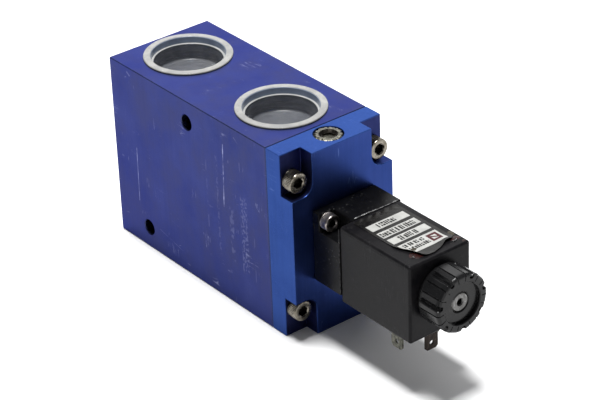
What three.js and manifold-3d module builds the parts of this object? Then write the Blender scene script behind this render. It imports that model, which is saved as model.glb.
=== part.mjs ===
// Solenoid-piloted three-way poppet valve. An aluminium block has two threaded ports on top and one
// underneath. Its end cover holds the piston, and carries a black pilot block with a coil on its tube.
// Millimetres. +X runs from the block's blind end to the coil nut, +Z goes up through the top ports.
// The origin is at the centre of the whole valve's footprint, on the face it stands on.
import * as THREE from "three";
import { mergeVertices } from "three/addons/utils/BufferGeometryUtils.js";
import Module from "manifold-3d";

const wasm = await Module();
wasm.setup();

// ---------------------------------------------------------------- driving dimensions

// Valve block
const BODY_LENGTH = 103;
const BODY_WIDTH = 50;
const BODY_HEIGHT = 81;
const AXIS_HEIGHT = BODY_HEIGHT / 2;

// Clearances
const SEAM = 0.1; // between two faces that are clamped together
const TOUCH = 0.05; // between two faces that rest on each other
const FIT = 0.1; // radial, between a plug and its hole
const OVERRUN = 1; // how far a cutting shape runs past the face that it opens

// Facets round a full turn
const SMALL = 12;
const MEDIUM = 18;
const LARGE = 28;

// Ports: G1 threads, shown at their minor diameter
const PORT = {
  boreRadius: 15.15,
  depth: 20,
  mouthRadius: 16.8,
  mouthDepth: 3.4,
};
const LEFT_PORT_X = 20.5;
const RIGHT_PORT_X = 81.4;
const BOTTOM_PORT_X = 51;
const TOP_PASSAGE_RADIUS = 11.5;
const BOTTOM_PASSAGE_RADIUS = 9.5;

// Holes for the screws that fasten the valve, straight through the block along Y: [x, z]
const MOUNTING_HOLE_RADIUS = 3.3;
const MOUNTING_HOLES = [
  [52, 71.4],
  [20.7, 9.5],
];

// The stepped bore, bored from the cover end. Stations are distances from the blind end.
const SPRING_POCKET = { radius: 9.7, floor: 4, end: 8 };
const SEAT_RADIUS = 11.5;
const SEAT_LIP = { width: 0.8, height: 0.5 };
const CHAMBER = { radius: 17.5, from: 41, to: 61 };
const INSERT_BORE_RADIUS = 18.5;
const INSERT_LENGTH = 6;
const CLIP_GROOVE = { radius: 19.6, from: 67.1, to: 68.7 };
const BULKHEAD_BORE = { radius: 19.5, from: 97 };

// End cover
const COVER_THICKNESS = 15.5;
const COVER_BACK = BODY_LENGTH + SEAM;
const COVER_FRONT = BODY_LENGTH + COVER_THICKNESS;
const FLANGE_FRONT = BODY_LENGTH + 8.6;
const POCKET = { width: 10.25, height: 17.5, radius: 5.2 };
const CYLINDER = { radius: 18, from: 99.95, to: 113 };
const COVER_SCREW = { across: 20, rise: 28.65, holeRadius: 2.75, tapRadius: 2.6, tapDepth: 14 };
const COVER_GROOVE = { inner: 20.5, outer: 22.7, depth: 1.4 };
const PLUG = {
  x: BODY_LENGTH + 7.4,
  radius: 5.8,
  depth: 8,
  holeDepth: 8.5,
  socketAcross: 5,
  socketDepth: 4.5,
};

// Air galleries between the cover and the pilot block
const SUPPLY = { height: 52, radius: 1.2, x: 115, dropFloor: 50 };
const OUTLET = { height: 30, radius: 1.5 };

// Pilot block
const PILOT_LENGTH = 16;
const PILOT_BACK = COVER_FRONT + SEAM;
const PILOT_FRONT = COVER_FRONT + PILOT_LENGTH;
const PILOT_HALF_WIDTH = 15.5;
const PILOT_BOTTOM = 25.5;
const PILOT_TOP = 56.3;
const PILOT_MIDDLE = (PILOT_BOTTOM + PILOT_TOP) / 2;
const PILOT_POCKET = { width: 7.3, height: 7.3, floor: COVER_FRONT + 4 };
const PILOT_SCREW = { across: 11.9, rise: 11.8, holeRadius: 2.2, tapRadius: 2.1, tapDepth: 4.5 };
const PILOT_GALLERY = { supplyTurn: 121.2, outletTurn: 124.5, outletTop: 36.2 };
const NOZZLE_BORE = { radius: 2.95, from: 119.9 };
const PILOT_CHAMBER = { radius: 6.3, from: 123.5 };
const TUBE_GROOVE = { radius: 8.9, from: 125.4 };
const TUBE_POCKET = { radius: 9.9, from: 127 };

// Armature tube, plunger and coil
const TUBE = { radius: 7, boreRadius: 6.15, flangeRadius: 9.7, flangeTo: 130, to: 172 };
const PLUNGER = { radius: 5.95, from: 127.6, to: 147.4, backBore: 3.2, backBoreFrom: 139.4 };
const PLUNGER_STROKE = 1.2;
const CORE_FACE = PLUNGER.to + PLUNGER_STROKE;
const STUD = { radius: 4, to: 185.4 };
const COIL_LENGTH = 40;
const COIL_BACK = PILOT_FRONT + SEAM;
const COIL_FRONT = PILOT_FRONT + COIL_LENGTH - SEAM;
const COIL_HALF_WIDTH = 15;
const COIL_BOTTOM = 22.5;
const COIL_TOP = 56.2;
const COIL_BORE = 7.2;
const COIL_POCKET = { radius: 13.2, to: 171.4 };
const LABEL = { from: 138, to: 171, y: [-11.5, 12], thickness: 0.25 };

// Connector: three flat blades and a threaded insert, on an 18 mm pattern
const CONNECTOR_X = 160;
const GROUND_OFFSET = 9;
const POWER_OFFSET = 9;
const BLADE = { width: 6.3, thickness: 0.8, tip: 11.8, taper: 1, holeRadius: 0.9, holeRise: 3 };

// Coil nut
const NUT = { radius: 12.3, from: COIL_FRONT + 2 * SEAM, to: 187, boreRadius: 4.1 };
const NUT_LOBES = 6;

const OVERALL_LENGTH = NUT.to;

// Port caps, measured from the face that they stand on
const CAP = {
  flangeRadius: 18.4,
  flangeTop: 1,
  mouthRadius: 15.65,
  mouthEndRadius: 15.5,
  collarRadius: 16.55,
  shoulderDepth: 3.2,
  stepDepth: 2.5,
  stepRadius: 14.65,
  cupOuterRadius: 15,
  cupEndRadius: 14.6,
  floorRadius: 13.7,
  floorDepth: 9,
  depth: 10.2,
};

// Poppet and piston
const STROKE = 6;
const POPPET_FRONT = CHAMBER.to - SEAT_LIP.height - TOUCH;
const POPPET_BACK = CHAMBER.from + SEAT_LIP.height + STROKE;
const POPPET = { radius: 14.5, hubRadius: 6.9, sealThickness: 3 };
const STEM = { radius: 4, endRadius: 3, from: 39.8, to: 112.6 };
const PISTON = { radius: 17.85, from: 106.4, to: 112.8, recessRadius: 7, recessFrom: 109.2 };
const PISTON_GROOVE = { radius: 15.2, from: 108.3, to: 110.9 };

// ---------------------------------------------------------------- looks

const LOOKS = {
  anodisedBlock: { color: 0x3f4586, roughness: 0.42, metalness: 0.75 },
  anodisedCover: { color: 0x2f5fb8, roughness: 0.38, metalness: 0.75 },
  blackAluminium: { color: 0x1c1c1f, roughness: 0.45, metalness: 0.5 },
  aluminium: { color: 0xb9bcc2, roughness: 0.4, metalness: 0.9 },
  nickelSteel: { color: 0xb5b3aa, roughness: 0.25, metalness: 1 },
  stainless: { color: 0xa9abae, roughness: 0.28, metalness: 1 },
  magnetSteel: { color: 0x8d8f92, roughness: 0.4, metalness: 1 },
  brass: { color: 0xb8933f, roughness: 0.3, metalness: 1 },
  tinned: { color: 0x8f877a, roughness: 0.4, metalness: 1 },
  copper: { color: 0xa9562b, roughness: 0.4, metalness: 0.9 },
  rubber: { color: 0x17171a, roughness: 0.8, metalness: 0 },
  capPlastic: { color: 0xc9ccd2, roughness: 0.35, metalness: 0 },
  coilPlastic: { color: 0x222224, roughness: 0.55, metalness: 0 },
  nutPlastic: { color: 0x1b1b1d, roughness: 0.45, metalness: 0 },
  bobbinPlastic: { color: 0xd8d2c0, roughness: 0.6, metalness: 0 },
  labelFilm: { color: 0x3a3a38, roughness: 0.3, metalness: 0 },
};

// ---------------------------------------------------------------- solids

const WELD = 1e-4;
const QUARTER_TURN = Math.PI / 2;
const FULL_TURN = Math.PI * 2;

// A closed geometry as a solid that can be cut and joined.
function solid(geometry) {
  const bare = geometry.index ? geometry.toNonIndexed() : geometry.clone();
  bare.deleteAttribute("normal");
  bare.deleteAttribute("uv");
  const welded = mergeVertices(bare, WELD);
  const vertProperties = welded.attributes.position.array;
  const triVerts = new Uint32Array(welded.index.array);
  return new wasm.Manifold(new wasm.Mesh({ numProp: 3, vertProperties, triVerts }));
}

function geometryOf(shape) {
  const { vertProperties, triVerts } = shape.getMesh();
  const indexed = new THREE.BufferGeometry();
  indexed.setAttribute("position", new THREE.BufferAttribute(vertProperties, 3));
  indexed.setIndex(new THREE.BufferAttribute(triVerts, 1));
  const faceted = indexed.toNonIndexed();
  faceted.computeVertexNormals();
  return faceted;
}

const cut = (shape, ...tools) => tools.reduce((rest, tool) => rest.subtract(tool), shape);
const join = (shape, ...others) => others.reduce((whole, other) => whole.add(other), shape);

function box([x0, x1], [y0, y1], [z0, z1]) {
  const shape = new THREE.BoxGeometry(x1 - x0, y1 - y0, z1 - z0);
  return solid(shape.translate((x0 + x1) / 2, (y0 + y1) / 2, (z0 + z1) / 2));
}

// Outlines for bodies of revolution, as [radius, station] points in order round the section.
const rod = (radius, from, to) => [[0, from], [radius, from], [radius, to], [0, to]];
const ring = (inner, outer, from, to) => [
  [inner, from],
  [outer, from],
  [outer, to],
  [inner, to],
  [inner, from],
];

function turned(outline, facets) {
  return new THREE.LatheGeometry(
    outline.map(([radius, station]) => new THREE.Vector2(radius, station)),
    facets,
  );
}

// A body of revolution about the valve's own axis, or about a line parallel to X, Y or Z.
function turnedX(outline, facets, y = 0, z = AXIS_HEIGHT) {
  return solid(turned(outline, facets).rotateZ(-QUARTER_TURN).translate(0, y, z));
}

function turnedY(outline, facets, x, z) {
  return solid(turned(outline, facets).translate(x, 0, z));
}

function turnedZ(outline, facets, x = 0, y = 0) {
  return solid(turned(outline, facets).rotateX(QUARTER_TURN).translate(x, y, 0));
}

// A ring of round section about the valve's axis, or about a line parallel to it.
function oRing({ mean, section, station, facets = LARGE, y = 0, z = AXIS_HEIGHT }) {
  const sides = 6;
  const outline = [];
  for (let side = 0; side <= sides; side += 1) {
    const angle = (side % sides) * (FULL_TURN / sides);
    outline.push([
      mean + section * Math.cos(angle),
      station + section * Math.sin(angle),
    ]);
  }
  return turnedX(outline, facets, y, z);
}

// A flat outline drawn in the YZ plane and drawn out along X.
function prismX(points, from, to) {
  const shape = new THREE.Shape(points.map(([y, z]) => new THREE.Vector2(y, z)));
  const geometry = new THREE.ExtrudeGeometry(shape, { depth: to - from, bevelEnabled: false });
  const turn = new THREE.Matrix4().makeBasis(
    new THREE.Vector3(0, 1, 0),
    new THREE.Vector3(0, 0, 1),
    new THREE.Vector3(1, 0, 0),
  );
  return solid(geometry.applyMatrix4(turn).translate(from, 0, 0));
}

function hexagon(across, y = 0, z = 0) {
  const corner = across / Math.sqrt(3);
  return Array.from({ length: 6 }, (_, index) => {
    const angle = (index * FULL_TURN) / 6;
    return [y + corner * Math.cos(angle), z + corner * Math.sin(angle)];
  });
}

class Coiled extends THREE.Curve {
  constructor(radius, turns, from, to) {
    super();
    Object.assign(this, { radius, turns, from, to });
  }

  getPoint(share, target = new THREE.Vector3()) {
    const angle = share * this.turns * FULL_TURN;
    const x = this.from + share * (this.to - this.from);
    return target.set(x, this.radius * Math.cos(angle), this.radius * Math.sin(angle));
  }
}

// A compression spring along X whose wire lies wholly between the two stations.
function spring({ meanRadius, wireRadius, turns, stepsPerTurn, from, to }) {
  const wire = new THREE.Shape();
  wire.absarc(0, 0, wireRadius, 0, FULL_TURN, false);
  const path = new Coiled(meanRadius, turns, from + wireRadius, to - wireRadius);
  const geometry = new THREE.ExtrudeGeometry(wire, {
    steps: turns * stepsPerTurn,
    curveSegments: 2,
    bevelEnabled: false,
    extrudePath: path,
  });
  return solid(geometry.translate(0, 0, AXIS_HEIGHT));
}

// A socket-head cap screw along X, with the underside of its head at x = 0 and its head towards +X.
function capScrew({ headRadius, headLength, shankRadius, shankLength, socketAcross }) {
  const socketDepth = headLength / 2;
  const blank = turned(
    [
      [0, -shankLength],
      [shankRadius, -shankLength],
      [shankRadius, 0],
      [headRadius, 0],
      [headRadius, headLength],
      [0, headLength],
    ],
    MEDIUM,
  );
  const socket = prismX(hexagon(socketAcross), headLength - socketDepth, headLength + OVERRUN);
  return cut(solid(blank.rotateZ(-QUARTER_TURN)), socket);
}

// ---------------------------------------------------------------- the scene graph

const valve = new THREE.Group();
const assembly = new THREE.Group();
assembly.position.x = -OVERALL_LENGTH / 2;
valve.add(assembly);

function piece(name, shape, look, place = [0, 0, 0]) {
  const mesh = new THREE.Mesh(geometryOf(shape), new THREE.MeshStandardMaterial(LOOKS[look]));
  mesh.name = name;
  mesh.position.set(...place);
  assembly.add(mesh);
}

// ---------------------------------------------------------------- valve block

function steppedBore() {
  const lipFace = CHAMBER.from + SEAT_LIP.height;
  return turnedX(
    [
      [0, SPRING_POCKET.floor],
      [SPRING_POCKET.radius, SPRING_POCKET.floor],
      [SPRING_POCKET.radius, SPRING_POCKET.end],
      [SEAT_RADIUS, SPRING_POCKET.end],
      [SEAT_RADIUS, lipFace],
      [SEAT_RADIUS + SEAT_LIP.width, lipFace],
      [SEAT_RADIUS + SEAT_LIP.width, CHAMBER.from],
      [CHAMBER.radius, CHAMBER.from],
      [CHAMBER.radius, CHAMBER.to],
      [INSERT_BORE_RADIUS, CHAMBER.to],
      [INSERT_BORE_RADIUS, CLIP_GROOVE.from],
      [CLIP_GROOVE.radius, CLIP_GROOVE.from],
      [CLIP_GROOVE.radius, CLIP_GROOVE.to],
      [INSERT_BORE_RADIUS, CLIP_GROOVE.to],
      [INSERT_BORE_RADIUS, BULKHEAD_BORE.from],
      [BULKHEAD_BORE.radius, BULKHEAD_BORE.from],
      [BULKHEAD_BORE.radius, BODY_LENGTH + OVERRUN],
      [0, BODY_LENGTH + OVERRUN],
    ],
    LARGE,
  );
}

function topPort(x) {
  const outline = [
    [0, AXIS_HEIGHT],
    [TOP_PASSAGE_RADIUS, AXIS_HEIGHT],
    [TOP_PASSAGE_RADIUS, BODY_HEIGHT - PORT.depth],
    [PORT.boreRadius, BODY_HEIGHT - PORT.depth],
    [PORT.boreRadius, BODY_HEIGHT - PORT.mouthDepth],
    [PORT.mouthRadius, BODY_HEIGHT - PORT.mouthDepth],
    [PORT.mouthRadius, BODY_HEIGHT + OVERRUN],
    [0, BODY_HEIGHT + OVERRUN],
  ];
  return turnedZ(outline, LARGE, x);
}

function bottomPort() {
  const outline = [
    [0, -OVERRUN],
    [PORT.mouthRadius, -OVERRUN],
    [PORT.mouthRadius, PORT.mouthDepth],
    [PORT.boreRadius, PORT.mouthDepth],
    [PORT.boreRadius, PORT.depth],
    [BOTTOM_PASSAGE_RADIUS, PORT.depth],
    [BOTTOM_PASSAGE_RADIUS, AXIS_HEIGHT],
    [0, AXIS_HEIGHT],
  ];
  return turnedZ(outline, LARGE, BOTTOM_PORT_X);
}

const corners = [-1, 1].flatMap((side) => [-1, 1].map((level) => ({ side, level })));

function bodyBlock() {
  const halfWidth = BODY_WIDTH / 2;
  const through = rod(MOUNTING_HOLE_RADIUS, -halfWidth - OVERRUN, halfWidth + OVERRUN);
  const tapFloor = BODY_LENGTH - COVER_SCREW.tapDepth;
  const tapped = rod(COVER_SCREW.tapRadius, tapFloor, BODY_LENGTH + OVERRUN);
  return cut(
    box([0, BODY_LENGTH], [-halfWidth, halfWidth], [0, BODY_HEIGHT]),
    steppedBore(),
    topPort(LEFT_PORT_X),
    topPort(RIGHT_PORT_X),
    bottomPort(),
    ...MOUNTING_HOLES.map(([x, z]) => turnedY(through, MEDIUM, x, z)),
    ...corners.map(({ side, level }) =>
      turnedX(tapped, SMALL, side * COVER_SCREW.across, AXIS_HEIGHT + level * COVER_SCREW.rise),
    ),
  );
}

piece("body_block", bodyBlock(), "anodisedBlock");

// ---------------------------------------------------------------- seat insert in the block

function seatInsert() {
  const seal = { radius: 16.1, from: 63.2, to: 64.8 };
  const from = CHAMBER.to + TOUCH;
  const to = CHAMBER.to + INSERT_LENGTH;
  const outer = INSERT_BORE_RADIUS - FIT;
  const outline = [
    [SEAT_RADIUS, CHAMBER.to - SEAT_LIP.height],
    [SEAT_RADIUS + SEAT_LIP.width, CHAMBER.to - SEAT_LIP.height],
    [SEAT_RADIUS + SEAT_LIP.width, from],
    [outer, from],
    [outer, seal.from],
    [seal.radius, seal.from],
    [seal.radius, seal.to],
    [outer, seal.to],
    [outer, to],
    [SEAT_RADIUS, to],
    [SEAT_RADIUS, CHAMBER.to - SEAT_LIP.height],
  ];
  return turnedX(outline, LARGE);
}

function retainingRing() {
  const clip = { inner: 15.4, outer: 19.3, halfGap: 3 };
  const section = ring(clip.inner, clip.outer, CLIP_GROOVE.from + FIT, CLIP_GROOVE.to - 2 * FIT);
  const opening = box(
    [CLIP_GROOVE.from - OVERRUN, CLIP_GROOVE.to + OVERRUN],
    [-clip.halfGap, clip.halfGap],
    [AXIS_HEIGHT - clip.outer - OVERRUN, AXIS_HEIGHT],
  );
  return cut(turnedX(section, LARGE), opening);
}

const seatORing = { mean: 17.2, section: 0.7, station: 64 };

piece("seat_insert", seatInsert(), "aluminium");
piece("seat_insert_o_ring", oRing(seatORing), "rubber");
piece("seat_retaining_ring", retainingRing(), "stainless");

// ---------------------------------------------------------------- bulkhead and its seals

const BULKHEAD = { noseRadius: 9, noseFrom: 91.5, sealRadius: 6.5, sealTo: 94.3, bushRadius: 5.45 };
const ROD_CLEARANCE = 0.08;

function bulkhead() {
  const groove = { radius: 17.9, from: 97.6, to: 99.3 };
  const outer = BULKHEAD_BORE.radius - FIT;
  const from = BULKHEAD_BORE.from + TOUCH;
  const to = CYLINDER.from - TOUCH;
  const outline = [
    [BULKHEAD.sealRadius, BULKHEAD.noseFrom],
    [BULKHEAD.noseRadius, BULKHEAD.noseFrom],
    [BULKHEAD.noseRadius, from],
    [outer, from],
    [outer, groove.from],
    [groove.radius, groove.from],
    [groove.radius, groove.to],
    [outer, groove.to],
    [outer, to],
    [BULKHEAD.bushRadius, to],
    [BULKHEAD.bushRadius, BULKHEAD.sealTo],
    [BULKHEAD.sealRadius, BULKHEAD.sealTo],
    [BULKHEAD.sealRadius, BULKHEAD.noseFrom],
  ];
  return turnedX(outline, LARGE);
}

const bulkheadORing = { mean: 18.65, section: 0.7, station: 98.45 };
const rodHole = STEM.radius + ROD_CLEARANCE;
const rodSeal = ring(
  rodHole,
  BULKHEAD.sealRadius - FIT,
  BULKHEAD.noseFrom + FIT,
  BULKHEAD.sealTo - FIT,
);
const rodBush = ring(
  rodHole,
  BULKHEAD.bushRadius - TOUCH,
  BULKHEAD.sealTo + TOUCH,
  CYLINDER.from - FIT,
);

piece("bulkhead", bulkhead(), "aluminium");
piece("bulkhead_o_ring", oRing(bulkheadORing), "rubber");
piece("rod_seal", turnedX(rodSeal, MEDIUM), "rubber");
piece("rod_bush", turnedX(rodBush, MEDIUM), "brass");

// ---------------------------------------------------------------- end cover

// One corner pocket: its inner corner is round, concentric with the screw that it clears.
function cornerPocket({ side, level }) {
  const steps = 6;
  const reach = { y: BODY_WIDTH / 2 + OVERRUN, z: BODY_HEIGHT / 2 + OVERRUN };
  const inner = { y: BODY_WIDTH / 2 - POCKET.width, z: BODY_HEIGHT / 2 - POCKET.height };
  const centre = { y: inner.y + POCKET.radius, z: inner.z + POCKET.radius };
  const outline = [[reach.y, reach.z], [inner.y, reach.z]];
  for (let step = 0; step <= steps; step += 1) {
    const angle = Math.PI + (step / steps) * QUARTER_TURN;
    outline.push([
      centre.y + POCKET.radius * Math.cos(angle),
      centre.z + POCKET.radius * Math.sin(angle),
    ]);
  }
  outline.push([reach.y, inner.z]);
  const placed = outline.map(([y, z]) => [side * y, AXIS_HEIGHT + level * z]);
  return prismX(placed, FLANGE_FRONT, COVER_FRONT + OVERRUN);
}

function pilotScrewCentre(sign) {
  return [-sign * PILOT_SCREW.across, PILOT_MIDDLE + sign * PILOT_SCREW.rise];
}

function endCover() {
  const halfWidth = BODY_WIDTH / 2;
  const plugHole = rod(PLUG.radius + FIT, BODY_HEIGHT - PLUG.holeDepth, BODY_HEIGHT + OVERRUN);
  const screwHole = rod(COVER_SCREW.holeRadius, BODY_LENGTH - OVERRUN, FLANGE_FRONT + OVERRUN);
  const tapFloor = COVER_FRONT - PILOT_SCREW.tapDepth;
  const tapped = rod(PILOT_SCREW.tapRadius, tapFloor, COVER_FRONT + OVERRUN);
  const groove = ring(
    COVER_GROOVE.inner,
    COVER_GROOVE.outer,
    COVER_BACK - OVERRUN,
    COVER_BACK + COVER_GROOVE.depth,
  );
  const plate = box([COVER_BACK, COVER_FRONT], [-halfWidth, halfWidth], [0, BODY_HEIGHT]);
  const spigot = rod(BULKHEAD_BORE.radius - FIT, CYLINDER.from, COVER_BACK + OVERRUN);
  const supplyDrop = rod(SUPPLY.radius, SUPPLY.dropFloor, BODY_HEIGHT - PLUG.depth);
  const supplyFeed = rod(SUPPLY.radius, SUPPLY.x - OVERRUN, COVER_FRONT + OVERRUN);
  const outletFeed = rod(OUTLET.radius, CYLINDER.to - OVERRUN, COVER_FRONT + OVERRUN);
  return cut(
    join(cut(plate, turnedX(groove, LARGE)), turnedX(spigot, LARGE)),
    turnedX(rod(CYLINDER.radius, CYLINDER.from - OVERRUN, CYLINDER.to), LARGE),
    turnedZ(plugHole, MEDIUM, PLUG.x),
    turnedZ(supplyDrop, SMALL, SUPPLY.x),
    turnedX(supplyFeed, SMALL, 0, SUPPLY.height),
    turnedX(outletFeed, SMALL, 0, OUTLET.height),
    ...corners.map(cornerPocket),
    ...corners.map(({ side, level }) =>
      turnedX(screwHole, SMALL, side * COVER_SCREW.across, AXIS_HEIGHT + level * COVER_SCREW.rise),
    ),
    ...[-1, 1].map((sign) => turnedX(tapped, SMALL, ...pilotScrewCentre(sign))),
  );
}

function coverPlug() {
  const top = BODY_HEIGHT - TOUCH;
  const blank = turned(rod(PLUG.radius, BODY_HEIGHT - PLUG.depth, top), MEDIUM);
  const corner = PLUG.socketAcross / Math.sqrt(3);
  const socket = turned(rod(corner, top - PLUG.socketDepth, top + OVERRUN), 6);
  return cut(solid(blank.rotateX(QUARTER_TURN)), solid(socket.rotateX(QUARTER_TURN)));
}

const coverORing = { mean: 21.6, section: 0.62, station: COVER_BACK + COVER_GROOVE.depth / 2 };
const m5Screw = capScrew({
  headRadius: 4.25,
  headLength: 5,
  shankRadius: 2.5,
  shankLength: 20,
  socketAcross: 4,
});

piece("end_cover", endCover(), "anodisedCover");
piece("cover_o_ring", oRing(coverORing), "rubber");
piece("cover_plug", coverPlug(), "nickelSteel", [PLUG.x, 0, 0]);
corners.forEach(({ side, level }, index) => {
  piece(`cover_screw_${index + 1}`, m5Screw, "nickelSteel", [
    FLANGE_FRONT + TOUCH,
    side * COVER_SCREW.across,
    AXIS_HEIGHT + level * COVER_SCREW.rise,
  ]);
});

// ---------------------------------------------------------------- poppet, stem and piston

function hexNut(across, hole, from, to) {
  const bore = turnedX(rod(hole, from - OVERRUN, to + OVERRUN), MEDIUM);
  return cut(prismX(hexagon(across, 0, AXIS_HEIGHT), from, to), bore);
}

const stemHole = STEM.endRadius + TOUCH;
const discBack = POPPET_BACK + POPPET.sealThickness;
const discFront = POPPET_FRONT - POPPET.sealThickness;
const poppetOutline = [
  [stemHole, POPPET_BACK],
  [POPPET.hubRadius, POPPET_BACK],
  [POPPET.hubRadius, discBack],
  [POPPET.radius, discBack],
  [POPPET.radius, discFront],
  [POPPET.hubRadius, discFront],
  [POPPET.hubRadius, POPPET_FRONT],
  [stemHole, POPPET_FRONT],
  [stemHole, POPPET_BACK],
];
const stemOutline = [
  [0, STEM.from],
  [STEM.endRadius, STEM.from],
  [STEM.endRadius, POPPET_FRONT + TOUCH],
  [STEM.radius, POPPET_FRONT + TOUCH],
  [STEM.radius, PISTON.from - TOUCH],
  [STEM.endRadius, PISTON.from - TOUCH],
  [STEM.endRadius, STEM.to],
  [0, STEM.to],
];
const pistonOutline = [
  [stemHole, PISTON.from],
  [PISTON.radius, PISTON.from],
  [PISTON.radius, PISTON_GROOVE.from],
  [PISTON_GROOVE.radius, PISTON_GROOVE.from],
  [PISTON_GROOVE.radius, PISTON_GROOVE.to],
  [PISTON.radius, PISTON_GROOVE.to],
  [PISTON.radius, PISTON.to],
  [PISTON.recessRadius, PISTON.to],
  [PISTON.recessRadius, PISTON.recessFrom],
  [stemHole, PISTON.recessFrom],
  [stemHole, PISTON.from],
];
const sealHole = POPPET.hubRadius + TOUCH;
const backSeal = ring(sealHole, POPPET.radius, POPPET_BACK, discBack - TOUCH);
const frontSeal = ring(sealHole, POPPET.radius, discFront + TOUCH, POPPET_FRONT);
const PISTON_SEAL_RADIUS = 17.93;
const pistonSeal = ring(
  PISTON_GROOVE.radius + FIT,
  PISTON_SEAL_RADIUS,
  PISTON_GROOVE.from + FIT,
  PISTON_GROOVE.to - FIT,
);
const STEM_NUT = { across: 10, length: 5, lengthInPiston: 3.25 };
const poppetNutTo = POPPET_BACK - TOUCH;
const poppetNutFrom = poppetNutTo - STEM_NUT.length;
const poppetNut = hexNut(STEM_NUT.across, stemHole, poppetNutFrom, poppetNutTo);
const pistonNutFrom = PISTON.recessFrom + TOUCH;
const pistonNutTo = pistonNutFrom + STEM_NUT.lengthInPiston;
const pistonNut = hexNut(STEM_NUT.across, stemHole, pistonNutFrom, pistonNutTo);
const SPRING_SEAT = { radius: 9.5, thickness: 1.5 };
const springSeatTo = poppetNutFrom - TOUCH;
const springSeatFrom = springSeatTo - SPRING_SEAT.thickness;
const springSeat = ring(stemHole, SPRING_SEAT.radius, springSeatFrom, springSeatTo);

piece("poppet_disc", turnedX(poppetOutline, LARGE), "aluminium");
piece("poppet_seal_back", turnedX(backSeal, LARGE), "rubber");
piece("poppet_seal_front", turnedX(frontSeal, LARGE), "rubber");
piece("valve_stem", turnedX(stemOutline, MEDIUM), "stainless");
piece("poppet_nut", poppetNut, "nickelSteel");
piece("spring_seat", turnedX(springSeat, MEDIUM), "stainless");
piece("piston", turnedX(pistonOutline, LARGE), "aluminium");
piece("piston_seal", turnedX(pistonSeal, LARGE), "rubber");
piece("piston_nut", pistonNut, "nickelSteel");

const returnSpring = {
  meanRadius: 8.2,
  wireRadius: 0.8,
  turns: 6,
  stepsPerTurn: 12,
  from: SPRING_POCKET.floor + TOUCH,
  to: springSeatFrom - TOUCH,
};

piece("return_spring", spring(returnSpring), "stainless");

// ---------------------------------------------------------------- pilot block

// One of the two screw pockets, at opposite corners of the block.
function pilotPocket(sign) {
  const outer = { y: PILOT_HALF_WIDTH + OVERRUN, z: (PILOT_TOP - PILOT_BOTTOM) / 2 + OVERRUN };
  const inner = {
    y: PILOT_HALF_WIDTH - PILOT_POCKET.width,
    z: (PILOT_TOP - PILOT_BOTTOM) / 2 - PILOT_POCKET.height,
  };
  const span = (a, b) => [Math.min(a, b), Math.max(a, b)];
  return box(
    [PILOT_POCKET.floor, PILOT_FRONT + OVERRUN],
    span(-sign * inner.y, -sign * outer.y),
    span(PILOT_MIDDLE + sign * inner.z, PILOT_MIDDLE + sign * outer.z),
  );
}

function pilotBlock() {
  const sealSeat = { radius: 3, depth: 1.1 };
  const screwHole = rod(PILOT_SCREW.holeRadius, PILOT_BACK - OVERRUN, PILOT_POCKET.floor + OVERRUN);
  const sealRecess = rod(sealSeat.radius, PILOT_BACK - OVERRUN, PILOT_BACK + sealSeat.depth);
  const supplyIn = rod(SUPPLY.radius, PILOT_BACK - OVERRUN, PILOT_GALLERY.supplyTurn);
  const supplyDown = rod(SUPPLY.radius, AXIS_HEIGHT, SUPPLY.height);
  const outletIn = rod(SUPPLY.radius, PILOT_BACK - OVERRUN, PILOT_GALLERY.outletTurn);
  const outletUp = rod(SUPPLY.radius, OUTLET.height, PILOT_GALLERY.outletTop);
  const bore = [
    [0, NOZZLE_BORE.from],
    [NOZZLE_BORE.radius, NOZZLE_BORE.from],
    [NOZZLE_BORE.radius, PILOT_CHAMBER.from],
    [PILOT_CHAMBER.radius, PILOT_CHAMBER.from],
    [PILOT_CHAMBER.radius, TUBE_GROOVE.from],
    [TUBE_GROOVE.radius, TUBE_GROOVE.from],
    [TUBE_GROOVE.radius, TUBE_POCKET.from],
    [TUBE_POCKET.radius, TUBE_POCKET.from],
    [TUBE_POCKET.radius, PILOT_FRONT + OVERRUN],
    [0, PILOT_FRONT + OVERRUN],
  ];
  const width = [-PILOT_HALF_WIDTH, PILOT_HALF_WIDTH];
  return cut(
    box([PILOT_BACK, PILOT_FRONT], width, [PILOT_BOTTOM, PILOT_TOP]),
    turnedX(bore, MEDIUM),
    turnedX(sealRecess, SMALL, 0, SUPPLY.height),
    turnedX(sealRecess, SMALL, 0, OUTLET.height),
    turnedX(supplyIn, SMALL, 0, SUPPLY.height),
    turnedZ(supplyDown, SMALL, PILOT_GALLERY.supplyTurn),
    turnedX(outletIn, SMALL, 0, OUTLET.height),
    turnedZ(outletUp, SMALL, PILOT_GALLERY.outletTurn),
    ...[-1, 1].map(pilotPocket),
    ...[-1, 1].map((sign) => turnedX(screwHole, SMALL, ...pilotScrewCentre(sign))),
  );
}

const m4Screw = capScrew({
  headRadius: 3.5,
  headLength: 4,
  shankRadius: 2,
  shankLength: 8,
  socketAcross: 3,
});
const pilotORing = { mean: 2.2, section: 0.45, station: 119.15, facets: SMALL };

piece("pilot_block", pilotBlock(), "blackAluminium");
[-1, 1].forEach((sign, index) => {
  const [y, z] = pilotScrewCentre(sign);
  piece(`pilot_screw_${index + 1}`, m4Screw, "nickelSteel", [PILOT_POCKET.floor + TOUCH, y, z]);
});
[SUPPLY.height, OUTLET.height].forEach((height, index) => {
  piece(`pilot_o_ring_${index + 1}`, oRing({ ...pilotORing, z: height }), "rubber");
});

// ---------------------------------------------------------------- armature tube and plunger

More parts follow.
